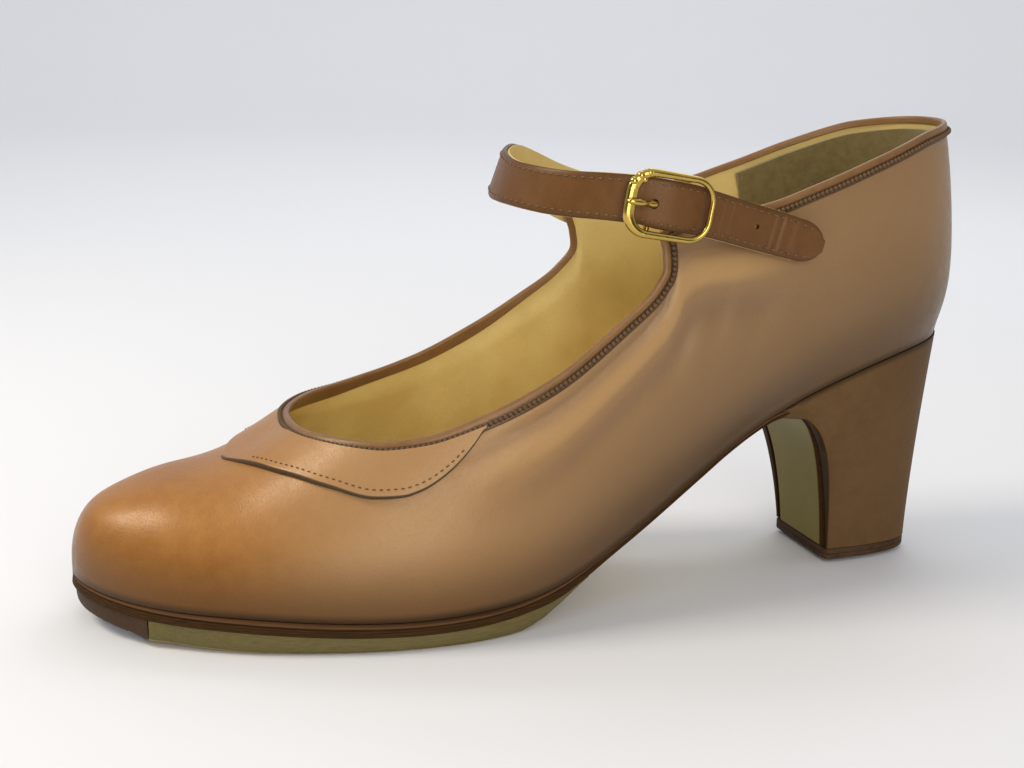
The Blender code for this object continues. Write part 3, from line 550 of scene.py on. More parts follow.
class Finish:
    """A material whose nodes are made and linked by plain calls."""

    def __init__(self, name):
        self.material = bpy.data.materials.new(name)
        self.material.use_nodes = True
        self.tree = self.material.node_tree
        self.shader = self.tree.nodes["Principled BSDF"]
        self.object_place = self.node("ShaderNodeTexCoord", out="Object")

    def node(self, kind, settings=None, *values, out=0, **sockets):
        """Any node: its type, its settings, then the values or links of its sockets."""
        made = self.tree.nodes.new(kind)
        for key, value in (settings or {}).items():
            setattr(made, key, value)
        for key, value in list(enumerate(values)) + list(sockets.items()):
            if value is not None:
                self.feed(made.inputs[key], value)
        return Value(self, made.outputs[out])

    def feed(self, socket, value):
        """Link a value to a socket, or set the socket."""
        if isinstance(value, Value):
            self.tree.links.new(value.socket, socket)
        elif hasattr(value, "__len__") and len(value) == 3 and socket.type == "RGBA":
            socket.default_value = (*value, 1.0)
        else:
            socket.default_value = value

    def noise(self, size, detail=3.0, rough=0.55, stretch=None):
        """Cloudy pattern from 0 to 1 with spots of a size in millimetres."""
        return self.node("ShaderNodeTexNoise", None, Vector=self.stretched(stretch), Scale=1.0 / (size * MM),
                         Detail=detail, Roughness=rough)

    def cells(self, size):
        """Distance pattern of cells of a size in millimetres."""
        return self.node("ShaderNodeTexVoronoi", None, Vector=self.object_place, Scale=1.0 / (size * MM))

    def stretched(self, stretch):
        """Object place, scaled along its axes."""
        if stretch is None:
            return self.object_place
        return self.node("ShaderNodeVectorMath", {"operation": "MULTIPLY"}, self.object_place, stretch)

    def along(self, axis):
        """Place along an axis of the shoe, in millimetres of the frame."""
        return self.node("ShaderNodeSeparateXYZ", None, self.object_place, out=axis) * (1.0 / MM)

    def painted(self, name):
        """A number that the piece's own points carry."""
        return self.node("ShaderNodeAttribute", {"attribute_name": name}, out="Fac")

    def mix(self, share, first, second):
        """Colour between two colours."""
        return self.node("ShaderNodeMix", {"data_type": "RGBA"}, share, None, None, None, None, None,
                         first, second, out=2)

    def relief(self, height, depth):
        """Surface direction of a relief of a depth in millimetres."""
        return self.node("ShaderNodeBump", None, Strength=1.0, Distance=depth * MM, Height=height)

    def surface(self, **sockets):
        """Set or link the shader's own sockets."""
        for key, value in sockets.items():
            self.feed(self.shader.inputs[key.replace("_", " ")], value)
        return self.material


def darker(colour, share):
    """A colour scaled down."""
    return tuple(c * share for c in colour)


def leather(name, tone, depth, rough=0.37, coat=0.12, shine=0.36, tint=None):
    """Smooth waxed leather: broad clouds, fine mottling, small pores and low waves; tint recolours it."""
    hide = Finish(name)
    cloud = hide.noise(34.0, 2.0).between(0.32, 0.68)
    mottle = hide.noise(3.2, 4.0).between(0.3, 0.72)
    pore = hide.cells(0.55).between(0.05, 0.6)
    fibre = hide.noise(0.3, 3.0)
    wave = hide.noise(5.5, 2.0)
    body = hide.mix(cloud * 0.55 + mottle * 0.45, depth, tone)
    body = hide.mix((1.0 - pore) * 0.14, body, darker(depth, 0.5))
    if tint is not None:
        body = tint(hide, body)
    height = pore * 0.022 + fibre * 0.016 + wave * 0.11
    return hide.surface(
        Base_Color=body,
        Roughness=rough - 0.06 + mottle * 0.1 + (1.0 - pore) * 0.1,
        Coat_Weight=coat * (0.6 + cloud * 0.8),
        Coat_Roughness=0.24,
        Specular_IOR_Level=shine,
        Specular_Tint=(1.0, 0.78, 0.55),
        Normal=hide.relief(height, 1.0),
    )


# Meshes

def place_in_frame(points):
    """Points in millimetres of the shoe as metres in the frame."""
    return (np.asarray(points, float).reshape(-1, 3) + PLACE) * MM


def add_piece(name, points, faces, finish, sharp=42.0, marks=None):
    """A piece of the shoe as a mesh that rides on its body."""
    mesh = bpy.data.meshes.new(name)
    mesh.from_pydata(place_in_frame(points).tolist(), [], faces)
    for key, values in (marks or {}).items():
        mark = mesh.attributes.new(key, "FLOAT", "POINT")
        mark.data.foreach_set("value", np.asarray(values, np.float32).ravel())
    work = bmesh.new()
    work.from_mesh(mesh)
    bmesh.ops.recalc_face_normals(work, faces=work.faces[:])
    work.to_mesh(mesh)
    work.free()
    mesh.shade_smooth()
    mesh.set_sharp_from_angle(angle=math.radians(sharp))
    mesh.materials.append(finish)
    item = bpy.data.objects.new(name, mesh)
    bpy.context.scene.collection.objects.link(item)
    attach(item, BODY)
    return item


def sweep_faces(rings, size, closed, start=0):
    """Faces of rings joined in order, in a loop or capped at both ends."""
    faces = []
    for i in range(rings if closed else rings - 1):
        a, b = start + i * size, start + ((i + 1) % rings) * size
        faces.extend((a + k, a + (k + 1) % size, b + (k + 1) % size, b + k) for k in range(size))
    if not closed:
        faces.append(tuple(range(start, start + size)))
        faces.append(tuple(range(start + (rings - 1) * size, start + rings * size)))
    return faces


def sweep(name, rings, finish, closed=False, sharp=42.0, marks=None):
    """Piece through rings with equal counts of points."""
    rings = np.asarray(rings, float)
    return add_piece(name, rings, sweep_faces(len(rings), rings.shape[1], closed), finish, sharp, marks)


def repeat(name, groups, finish, sharp=50.0, marks=None):
    """Many small capped sweeps of one shape as one mesh; groups has item, ring, point and axis."""
    groups = np.asarray(groups, float)
    items, rings, size = groups.shape[:3]
    faces = []
    for i in range(items):
        faces.extend(sweep_faces(rings, size, False, i * rings * size))
    return add_piece(name, groups, faces, finish, sharp, marks)


def rounded(points, steps=5):
    """Closed smooth line through corner points."""
    p = np.asarray(points, float)
    before, after, far = np.roll(p, 1, axis=0), np.roll(p, -1, axis=0), np.roll(p, -2, axis=0)
    line = []
    for i in range(len(p)):
        for t in np.arange(steps) / steps:
            bend = (2 * before[i] - 5 * p[i] + 4 * after[i] - far[i]) * t ** 2
            twist = (3 * p[i] - before[i] - 3 * after[i] + far[i]) * t ** 3
            line.append(0.5 * (2 * p[i] + (after[i] - before[i]) * t + bend + twist))
    return np.array(line)


# A stitch from end to end: share of its length, share of its thickness, and how dark its needle hole is, as
# painted shade.
STITCH = (
    (0.0, 0.4, 1.0), (0.12, 0.8, 0.7), (0.32, 1.0, 0.0), (0.68, 1.0, 0.0), (0.88, 0.8, 0.7), (1.0, 0.4, 1.0),
)
STITCH_SIDES = 8


def stitch_rows(name, rows, finish, slot, length, pitch, radius, slant=0.0):
    """Threads laid end to end along lines of points with outward directions."""
    turn = np.linspace(0.0, 2.0 * math.pi, STITCH_SIDES, endpoint=False)[None, :, None]
    packed = []
    for points, away in rows:
        run = run_along(points)
        count = max(int(run[-1] / pitch), 1)
        middles = (np.arange(count) + 0.5) * run[-1] / count
        ends = [np.column_stack([np.interp(middles + s, run, points[:, k]) for k in range(3)])
                for s in (-0.5 * length, 0.5 * length)]
        out = unit(np.column_stack([np.interp(middles, run, away[:, k]) for k in range(3)]))
        side = np.cross(out, unit(ends[1] - ends[0]))
        first, end = ends[0] - side * slant, ends[1] + side * slant
        side = np.cross(out, unit(end - first))
        rings = []
        for t, thick, _ in STITCH:
            middle = first + (end - first) * t + out * radius * (1.5 * math.sin(math.pi * t) - 0.5)
            ring = side[:, None] * np.cos(turn) + out[:, None] * np.sin(turn)
            rings.append(middle[:, None] + ring * radius * thick)
        packed.append(np.stack(rings, axis=1))
    groups = np.concatenate(packed)
    # The ends carry how much painted shade darkens them at the needle holes.
    dark = np.tile(np.repeat([d for _, _, d in STITCH], STITCH_SIDES), len(groups))
    return repeat(name, groups, finish, marks={"end": dark})


# Settings

def colour(name, description, default):
    """A colour that a user may change."""
    return bpy.props.FloatVectorProperty(
        name=name, description=description, default=default, subtype="COLOR", size=3, min=0.0, max=1.0)


def size(name, description, default):
    """A length that a user may change, given in millimetres."""
    return bpy.props.FloatProperty(
        name=name, description=description, default=default * MM, min=0.0, unit="LENGTH", precision=5)


def power(name, description, default):
    """Power of a light that a user may change."""
    return bpy.props.FloatProperty(name=name, description=description, default=default, min=0.0, unit="POWER")


class ShoeLeathers(bpy.types.PropertyGroup):
    """Colours of the leathers."""
    upper: colour("Upper", "Tan of the vamp", (0.335, 0.146, 0.032))
    upper_deep: colour("Upper shade", "Darker tan in the clouds of the hide", (0.27, 0.108, 0.022))
    # Vamp sides is a paler tan that stands in for painted sheen; Quarter is the leather's duller tone with
    # painted shade in it.
    middle: colour("Vamp sides", "Paler tan across the vamp", (0.345, 0.203, 0.092))
    quarter: colour("Quarter", "Duller brown towards the heel", (0.222, 0.134, 0.066))
    # Troughs is painted shade in the hollows along the collar, and Ridges is painted sheen on its swells.
    dull: colour("Troughs", "Dull brown in the hollows along the collar", (0.16, 0.098, 0.062))
    gold: colour("Ridges", "Rubbed gold on the swells along the collar", (0.46, 0.275, 0.112))
    binding: colour("Binding", "Leather folded over the collar", (0.235, 0.12, 0.047))
    strap: colour("Strap", "Leather of the instep strap", (0.14, 0.06, 0.019))
    lining: colour("Lining", "Cream leather inside", (0.72, 0.555, 0.21))
    grip: colour("Heel grip", "Olive suede inside the back", (0.22, 0.17, 0.06))
    edge: colour("Sole edge", "Burnished brown edge of the sole", (0.056, 0.027, 0.009))
    waist: colour("Waist", "Polished cream of the waist", (0.66, 0.50, 0.23))
    # Breast is the waist's cream darkened by painted shade.
    breast: colour("Breast", "Olive cream down the heel's breast", (0.24, 0.195, 0.05))
    half_sole: colour("Half sole", "Sanded leather of the half sole", (0.58, 0.42, 0.2))
    # Half sole edge is the cut edge's tone darkened partly by painted shade.
    half_edge: colour("Half sole edge", "Cut edge of the half sole", (0.14, 0.112, 0.036))
    cut: colour("Cut edge", "Dark cut edge of the overlay", (0.036, 0.027, 0.017))
    # Heel lift is the leather's brown darkened partly by painted shade.
    lift: colour("Heel lift", "Leather of the heel's top piece", (0.07, 0.035, 0.016))
    # Heel cover is the upper's leather darkened partly by painted shade.
    cover: colour("Heel cover", "Leather drawn over the heel block", (0.13, 0.074, 0.033))


class ShoeSewing(bpy.types.PropertyGroup):
    """Threads and stitches."""
    dark: colour("Dark thread", "Thread under the binding", (0.15, 0.088, 0.045))
    tan: colour("Tan thread", "Thread of overlay and strap", (0.215, 0.125, 0.065))
    cream: colour("Cream thread", "Thread of the inner seam", (0.8, 0.68, 0.52))
    pitch: size("Pitch", "Distance between stitches", 2.05)
    length: size("Length", "Length of one stitch", 1.45)
    radius: size("Thread radius", "Half the thickness of the thread", 0.17)


class ShoeMetal(bpy.types.PropertyGroup):
    """Buckle and nails."""
    brass: colour("Brass", "Plating of the buckle", (0.56, 0.385, 0.09))
    steel: colour("Steel", "Nail heads", (0.56, 0.58, 0.61))
    heel_nail: size("Heel nail", "Radius of a heel nail's head", 1.85)
    toe_nail: size("Toe nail", "Radius of a toe nail's head", 2.35)


class ShoeStage(bpy.types.PropertyGroup):
    """Floor and light."""
    floor: colour("Floor", "Plain pale floor", (0.735, 0.75, 0.785))
    sky: bpy.props.FloatProperty(name="Sky", description="Strength of the even light", default=0.66, min=0.0)
    key: power("Key", "Main soft light", 3.8)
    fill: power("Fill", "Side light", 5.2)
    wall: power("Wall", "Wash on the wall behind", 10.0)
    rim: power("Rim", "Light from behind", 1.0)


class ShoeSettings(bpy.types.PropertyGroup):
    """All the settings of the shoe."""
    leathers: bpy.props.PointerProperty(type=ShoeLeathers, name="Leathers", description="Leather colours")
    sewing: bpy.props.PointerProperty(type=ShoeSewing, name="Sewing", description="Thread and stitches")
    metal: bpy.props.PointerProperty(type=ShoeMetal, name="Metal", description="Buckle and nails")
    stage: bpy.props.PointerProperty(type=ShoeStage, name="Stage", description="Floor and light")


def settings():
    """The shoe's settings in this scene."""
    return bpy.context.scene.flamenco_shoe


def thread(name, tone, hole=0.15):
    """Waxed sewing thread with a twist, darkened with painted shade where it dives into its needle holes."""
    yarn = Finish(name)
    ply = yarn.noise(0.3, 2.0)
    body = yarn.mix(ply.between(0.3, 0.7), darker(tone, 0.62), tone)
    # Painted shade at the needle holes.
    body = yarn.mix(yarn.painted("end") * 0.85, body, darker(tone, hole))
    return yarn.surface(Base_Color=body, Roughness=0.6 + ply * 0.2, Specular_IOR_Level=0.2,
                        Normal=yarn.relief(ply, 0.1))


# Upper

def toe_to_heel(hide, body, tones):
    """Warm tan at the toe, paler across the vamp as painted sheen, and duller at the quarters, partly the
    leather's tone and partly painted shade.
    """
    x = hide.along("X")
    body = hide.mix((1.0 - x.between(48.0, 84.0)) * 0.8, body, tuple(tones.middle))
    return hide.mix((1.0 - x.between(-42.0, 40.0)) * 0.85, body, tuple(tones.quarter))


def upper_leather(tones):
    """Leather of the upper: warm at the toe, duller at the heel, with painted sheen and shade along the collar
    and painted shade towards the feather.
    """
    def tint(hide, body):
        body = toe_to_heel(hide, body, tones)
        rise, swell = hide.painted("rise"), hide.painted("swell")
        # Painted shade in the collar's hollows, then painted sheen on its swells.
        body = hide.mix(swell.between(0.0, 0.5) * 0.42, body, tuple(tones.dull))
        body = hide.mix((0.0 - swell).between(0.0, 0.5) * 0.62, body, tuple(tones.gold))
        # Painted shade: the leather darkens over the lowest 20 mm towards the feather.
        body = hide.mix((1.0 - rise.between(0.0, 20.0)) * 0.85, body, darker(tones.upper_deep, 0.3))
        # Painted shade: the lower side towards the heel and waist is darkened further.
        waist = 1.0 - hide.along("X").between(-20.0, 40.0)
        body = hide.mix((1.0 - rise.between(4.0, 40.0)) * waist * 0.6, body, darker(tones.quarter, 0.35))
        # Painted shade in the crevice where the upper meets the sole.
        return hide.mix((1.0 - rise.between(0.3, 2.2)) * 0.85, body, darker(tones.edge, 0.5))

    return leather("tan_upper_leather", tuple(tones.upper), tuple(tones.upper_deep), tint=tint)


# Where the upper's inner face lies below its outer one: at the collar edge, how much deeper further down,
# and between which distances from the edge it gets there.
SPLIT_EDGE = 0.35
SPLIT_GROWTH = 0.85
SPLIT_EASE = (1.0, 9.0)


class SHOE_OT_upper(bpy.types.Operator):
    """Build the leather of the upper over the last"""
    bl_idname = "shoe.upper"
    bl_label = "Upper"

    def execute(self, context):
        swell = collar_swell()
        outer = SKIN.points - SKIN.normals * (creased(SKIN.points) + swell)[..., None]
        depth = SPLIT_EDGE + SPLIT_GROWTH * eased(SKIN.drop, *SPLIT_EASE)
        inner = SKIN.points - SKIN.normals * depth[..., None]
        rings = np.concatenate((outer, inner[:, ::-1]), axis=1)
        marks = {
            "rise": np.concatenate((SKIN.rise, SKIN.rise[:, ::-1]), axis=1),
            "swell": np.concatenate((swell, swell[:, ::-1]), axis=1),
        }
        finish = upper_leather(settings().leathers)
        item = sweep("upper_leather", rings, finish, True, marks=marks)
        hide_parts("upper")
        return {"FINISHED"}


def lining_leather(name, tone):
    """Thin cream lining leather, a little soiled in its folds."""
    hide = Finish(name)
    cloud = hide.noise(18.0, 3.0).between(0.3, 0.7)
    fibre = hide.noise(0.7, 4.0)
    body = hide.mix(cloud * 0.7, tone, (tone[0] * 0.78, tone[1] * 0.72, tone[2] * 0.6))
    body = hide.mix(fibre.between(0.55, 0.8) * 0.25, body, darker(tone, 0.55))
    return hide.surface(Base_Color=body, Roughness=0.5 + fibre * 0.2, Specular_IOR_Level=0.35,
                        Normal=hide.relief(fibre, 0.12))


def suede(name, tone):
    """Brushed nap with streaks."""
    nap = Finish(name)
    streak = nap.noise(2.4, 4.0, 0.65)
    fuzz = nap.noise(0.28, 3.0)
    body = nap.mix(streak.between(0.3, 0.7) * 0.6 + fuzz * 0.3, darker(tone, 0.62), tone)
    return nap.surface(Base_Color=body, Roughness=0.93, Sheen_Weight=0.3, Normal=nap.relief(fuzz, 0.25))


# The lining's inner face at the collar edge, and the gap between upper and lining.
LINING_EDGE = 0.72
LINING_GAP = 0.05
# The suede grip: station of its front ends, distances below the collar, thickness, and points down it.
GRIP_FRONT = 43.0
GRIP_DROP = (2.2, 36.0)
GRIP_THICK = 0.75
GRIP_THIN = 0.4
GRIP_ROWS = 16


def lining_ripple():
    """Low ripples of the lining beside the throat."""
    x, drop = SKIN.points[..., 0], SKIN.drop
    wave = 0.3 * np.sin(x / 2.9 + 0.6 * np.sin(drop / 7.0))
    return wave * bump_at(x, 112.0, 22.0) * bump_at(drop, 16.0, 12.0)


class SHOE_OT_lining(bpy.types.Operator):
    """Build the lining and the suede grip inside the back of the heel"""
    bl_idname = "shoe.lining"
    bl_label = "Lining"

    def execute(self, context):
        tones = settings().leathers
        ease = eased(SKIN.drop, *SPLIT_EASE)
        start = SPLIT_EDGE + LINING_GAP + SPLIT_GROWTH * ease
        depth = LINING_EDGE + (WALL - LINING_EDGE) * ease + lining_ripple()
        outer = SKIN.points - SKIN.normals * start[..., None]
        inner = SKIN.points - SKIN.normals * depth[..., None]
        rings = np.concatenate((outer, inner[:, ::-1]), axis=1)
        lining = lining_leather("cream_lining", tuple(tones.lining))
        sweep("upper_lining", rings, lining, True)
        limit = float(turn_of(GRIP_FRONT))
        thick = np.full(GRIP_ROWS, WALL + GRIP_THICK)
        thick[-1] = WALL + GRIP_THIN
        rings = []
        for turn in np.linspace(-limit, limit, 61):
            ease = 1.0 - 0.3 * (abs(turn) / limit) ** 6
            drops = np.linspace(GRIP_DROP[0], GRIP_DROP[1] * ease, GRIP_ROWS)
            line, away = SKIN.line([turn] * GRIP_ROWS, drops)
            rings.append(np.concatenate((line - away * (WALL + 0.05), (line - away * thick[:, None])[::-1])))
        sweep("heel_grip", rings, suede("olive_suede", tuple(tones.grip)))
        return {"FINISHED"}


# Cross section of the binding: outward of the wall's outer face, and down from its edge.
BINDING_SECTION = (
    (0.04, 2.75), (0.22, 2.7), (0.3, 2.3), (0.28, 1.5), (0.28, 0.95), (0.36, 0.6), (0.38, 0.1), (0.27, -0.38),
    (0.0, -0.64), (-0.35, -0.74), (-0.72, -0.62), (-0.98, -0.3), (-1.06, 0.3), (-1.14, 1.2), (-1.2, 2.0),
    (-1.12, 2.3), (-0.98, 2.25), (-0.86, 1.2), (-0.76, 0.1), (-0.36, -0.1), (0.0, 0.0), (0.02, 1.2),
)
# Stations between which the binding's inner leg grows from short at the ears to long at the throat.
LEG_STATIONS = (96.0, 124.0)
THROAT_STATIONS = (142.0, 170.0)
LEG_SHORT, LEG_GROWTH, THROAT_GROWTH = 0.4, 0.6, 1.1
# Points of the section that lie further in than this belong to the inner leg, which leans in as it drops.
INNER_LEG = -0.8
LEG_LEAN = 0.45
LEG_LEAN_DROP = (1.5, 6.0)
# How much closer to the roll the foot and the beaded row lie at the inner side of the throat's front.
FOOT_CLOSER = 0.3
BEAD_CLOSER = 0.5
# The beaded row lies this far down the outer leg, with stitches of this length, pitch, radius and slant.
BEAD_DROP = 1.72
BEAD_HIGH = 0.3
BEAD_STITCH = (1.35, 1.2, 0.5, 0.4)


def far_front(turn):
    """One at the inner side of the throat's front, where the foot lies closer to the roll, else nought."""
    return eased(turn, math.pi - 0.1, math.pi + 0.2) * (1.0 - eased(turn, math.pi + 1.1, math.pi + 1.4))


def binding_leather(tones):
    """Thin leather of the binding, darker along its sewn foot with painted shadow below the roll."""
    def tint(hide, body):
        # Painted shadow: the foot below the roll takes the dark edge brown.
        return hide.mix(hide.painted("foot").between(0.7, 1.1) * 0.85, body, tuple(tones.edge))

    return leather("brown_binding_leather", tuple(tones.binding), darker(tones.binding, 0.72), tint=tint)


class SHOE_OT_binding(bpy.types.Operator):
    """Roll the binding over the collar edge and sew its foot"""
    bl_idname = "shoe.binding"
    bl_label = "Collar binding"

    def execute(self, context):
        edge, out = SKIN.points[:, -1], SKIN.normals[:, -1]
        along = unit(np.roll(edge, -1, axis=0) - np.roll(edge, 1, axis=0))
        down = unit(np.cross(along, out))
        toward = SKIN.points[:, -4] - edge
        down = np.where((down * toward).sum(axis=1, keepdims=True) > 0.0, down, -down)
        section = rounded(BINDING_SECTION, 2)
        inner_leg = (section[:, 0] < INNER_LEG) & (section[:, 1] > 0.0)
        grown = LEG_SHORT + LEG_GROWTH * eased(edge[:, 0], *LEG_STATIONS)
        grown = grown + THROAT_GROWTH * eased(edge[:, 0], *THROAT_STATIONS)
        deep = np.where(inner_leg, section[:, 1] * grown[:, None], section[:, 1])
        side = section[:, 0] - LEG_LEAN * eased(deep, *LEG_LEAN_DROP) * inner_leg
        rings = edge[:, None] + out[:, None] * side[..., None] + down[:, None] * deep[..., None]
        near_front = far_front(SKIN.turns)[:, None]
        # The foot mark carries how far down the outer leg a point lies, for the painted shadow below the roll.
        foot = np.where(section[:, 0] > INNER_LEG, section[:, 1], 0.0) * (1.0 - FOOT_CLOSER * near_front)
        tones, sewing = settings().leathers, settings().sewing
        marks = {"foot": foot}
        item = sweep("collar_binding", rings, binding_leather(tones), True, marks=marks)
        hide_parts("topline_binding")
        line = edge + out * BEAD_HIGH + down * (BEAD_DROP - BEAD_CLOSER * near_front)
        row = (np.vstack((line, line[:1])), np.vstack((out, out[:1])))
        yarn = thread("dark_thread", tuple(sewing.dark), 0.25)
        stitch_rows("collar_stitches", [row], yarn, "binding_leather", *BEAD_STITCH)
        return {"FINISHED"}


# Thickness of the overlay near its cut edge: distance in from the edge, share of the thickness.
OVERLAY_EDGE = ((0.0, 0.0), (-0.02, 0.5), (0.18, 0.86), (0.5, 1.0))
OVERLAY_THICK = 1.3
# Share of the thickness at the tip, and how much more each side gains over an angle away from it.
TIP_THICK = 0.22
SIDE_THICK = {"lateral": 0.78, "medial": 0.3}
TIP_SPREAD = 0.55
# On the inner side the cut stays unstained near the tip, between these angles.
TIP_BARE = (0.5, 0.9)
# Where the overlay starts below the collar edge, points across it, and its height over the skin.
OVERLAY_START = 2.0
OVERLAY_POINTS = 9
OVERLAY_LIFT = 0.1
# Reach at which the sewing starts.
OVERLAY_SEWN_REACH = 6.4
# The stitches run from the collar to these stations on each side, short of the tip.
OVERLAY_SEWN = {"lateral": 217.0, "medial": 205.0}
# Length, pitch and radius of these stitches, and how far they lie from the cut edge.
OVERLAY_STITCH = (0.95, 1.55, 0.15)
OVERLAY_MARGIN = 1.9


def overlay_leather(tones):
    """Leather of the overlay, its cut edge stained dark."""
    def tint(hide, body):
        cut = 1.0 - hide.painted("inset").between(0.35, 0.7)
        # Besides its stained cut edge, the overlay takes the painted sheen across the vamp and the painted
        # shade at the quarters.
        return hide.mix(cut * 0.94, toe_to_heel(hide, body, tones), tuple(tones.cut))

    return leather("tan_overlay_leather", tuple(tones.upper), tuple(tones.upper_deep), tint=tint)


class SHOE_OT_overlay(bpy.types.Operator):
    """Lay the throat overlay on the vamp and sew it along its edge"""
    bl_idname = "shoe.overlay"
    bl_label = "Throat overlay"

    def execute(self, context):
        first = float(turn_of(OVERLAY[0][0]))
        turns = np.linspace(first, 2.0 * math.pi - first, 281)
        rings, inset, row = [], [], []
        for turn in turns:
            side = side_name(turn)
            reach = float(OVERLAY_CURVES[side](fold(turn)))
            off = abs(math.pi - turn)
            rise = OVERLAY_THICK * (TIP_THICK + SIDE_THICK[side] * float(eased(off, 0.0, TIP_SPREAD)))
            bare = 0.0 if side == "lateral" else 0.7 * (1.0 - float(eased(off, *TIP_BARE)))
            start = OVERLAY_START - 0.55 * float(far_front(turn))
            inner = np.linspace(start, max(reach - 0.9, start + 0.1), OVERLAY_POINTS)
            drops = np.concatenate((inner, [max(reach - e[0], start + 0.05) for e in OVERLAY_EDGE[::-1]]))
            thick = np.concatenate((np.ones(OVERLAY_POINTS), [e[1] for e in OVERLAY_EDGE[::-1]]))
            line, away = SKIN.line([turn] * len(drops), drops)
            top = line + away * (OVERLAY_LIFT + rise * thick)[:, None]
            low = line - away * 0.05
            rings.append(np.concatenate((top, low[::-1])))
            inset.append(np.concatenate((reach - drops, (reach - drops)[::-1])) + bare)
            if reach > OVERLAY_SEWN_REACH and station(turn) < OVERLAY_SEWN[side]:
                point, out = SKIN.at(turn, reach - OVERLAY_MARGIN)
                row.append((side, point + out * (rise + 0.06), out))
        tones, sewing = settings().leathers, settings().sewing
        item = sweep("throat_petal", rings, overlay_leather(tones),
                     marks={"inset": np.array(inset)})
        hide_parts("throat_overlay")
        rows = []
        for side in OVERLAY_SEWN:
            rows.append(tuple(np.array([r[k] for r in row if r[0] == side]) for k in (1, 2)))
        yarn = thread("brown_thread", darker(sewing.tan, 0.62), 0.5)
        stitch_rows("throat_stitches", rows, yarn, "overlay_leather", *OVERLAY_STITCH)
        return {"FINISHED"}


# The seam on the inner side, where the vamp laps over the quarter: share of the height and station.
SEAM = ((0.0, 86.0), (0.25, 91.0), (0.5, 98.0), (0.75, 106.0), (1.0, 113.0))
# The lap from its cut edge forward: distance and height over the skin.
LAP = (
    (0.0, 0.0), (0.02, 0.45), (0.3, 0.75), (0.9, 0.8), (3.0, 0.72), (8.0, 0.4), (14.0, 0.1), (18.0, -0.05),
)
LAP_FOOT = 0.15
# Length, pitch and radius of the seam's stitches, their distance from the cut edge and their height.
SEAM_STITCH = (1.0, 1.5, 0.24)
SEAM_MARGIN = 1.5
SEAM_HIGH = 0.82


def inner_skin(x, k):
    """Point and outward direction on the inner side at a station of the skin's row k."""
    inner = slice(None, len(SKIN.turns) // 2, -1)
    turn = float(np.interp(x, SKIN.points[inner, k, 0], SKIN.turns[inner]))
    nearest = int(np.argmin(np.abs(SKIN.turns - turn)))
    return SKIN.at(turn, SKIN.drop[nearest, k])


class SHOE_OT_seam(bpy.types.Operator):
    """Lap the vamp over the quarter on the inner side and sew the seam"""
    bl_idname = "shoe.seam"
    bl_label = "Inner seam"

    def execute(self, context):
        shares = np.linspace(0.02, 0.97, 46)
        path = natural([s for s, _ in SEAM], [x for _, x in SEAM])
        rings, row, row_away = [], [], []
        for share in shares:
            k = int(round(share * (SKIN_ROWS - 1)))
            x = float(path(share))
            top, low = [], []
            for step, thick in LAP:
                point, out = inner_skin(x + step, k)
                top.append(point + out * thick)
                low.append(point - out * LAP_FOOT)
            rings.append(np.array(top + low[::-1]))
            point, out = inner_skin(x + SEAM_MARGIN, k)
            row.append(point + out * SEAM_HIGH)
            row_away.append(out)
        tones, sewing = settings().leathers, settings().sewing
        count = len(shares) * 2 * len(LAP)
        marks = {"rise": np.full(count, 20.0), "swell": np.zeros(count)}
        sweep("vamp_lap", rings, upper_leather(tones), marks=marks)
        yarn = thread("cream_thread", tuple(sewing.cream))
        rows = [(np.array(row), np.array(row_away))]
        stitch_rows("seam_stitches", rows, yarn, "upper_leather", *SEAM_STITCH)
        return {"FINISHED"}


# Sole

def by_station(rows, x):
    """Value of a two column table at a station."""
    return float(np.interp(x, *np.array(rows).T))


def sole_depth(x):
    """Thickness of the outsole at a station."""
    return by_station(OUTSOLE_THICK, x)


# Edge of the outsole from top to bottom: outward step in millimetres and share of the depth.
SOLE_EDGE = (
    (-1.4, 0.0), (-0.5, 0.0), (0.05, 0.03), (0.16, 0.1), (0.1, 0.19), (-0.24, 0.25), (-0.28, 0.31),
    (0.0, 0.37), (0.02, 0.5), (-0.1, 0.54), (0.02, 0.58), (0.02, 0.72), (-0.1, 0.76), (0.0, 0.8),
    (-0.02, 0.9), (-0.2, 0.98), (-0.6, 1.0),
)
# Distance along the sole from the heel tip to the middle of the breast's bend, and half its length.
BREAST_BEND = 46.0
BREAST_REACH = 13.0
# Points along the sole before, in and after the bend, and across its lower face.
SOLE_POINTS = (16, 58, 120)
SOLE_ACROSS = 34
# Distances past the bend over which the bevel of the sole's edge ends, and the painted shade down the breast
# fades into the cream.
BEVEL_END = (6.0, 30.0)
BREAST_SHADE_END = (-2.0, 26.0)
# Distance behind the toe piece over which the sole's slope is taken over by the toe's.
TOE_BLEND = 14.0
# The sole's last angle stops this far short of the tip.
TIP_STOP = 0.004
# Shares of the edge's depth above which it is a pale welt line with a painted highlight, and below which it is
# lower face.
LIP_SHARE, FACE_SHARE = 0.22, 0.99
# How far the sole's lower edge is bevelled off round the breast.
WAIST_BEVEL = 1.9


def breast_wrinkles(run, y):
    """Fine ridges where the sole's leather bends from the waist into the breast."""
    wave = np.sin(run * 2.3 + 0.9 * np.sin(0.21 * y + 1.0) + 0.5 * np.sin(0.63 * y))
    wave += 0.6 * np.sin(run * 3.7 + 1.3 * np.sin(0.34 * y - 0.6) + 2.0)
    patch = 0.55 + 0.45 * np.sin(0.4 * y + 0.7 * run)
    return 0.16 * wave * patch * bump_at(run, BREAST_BEND, 4.4)


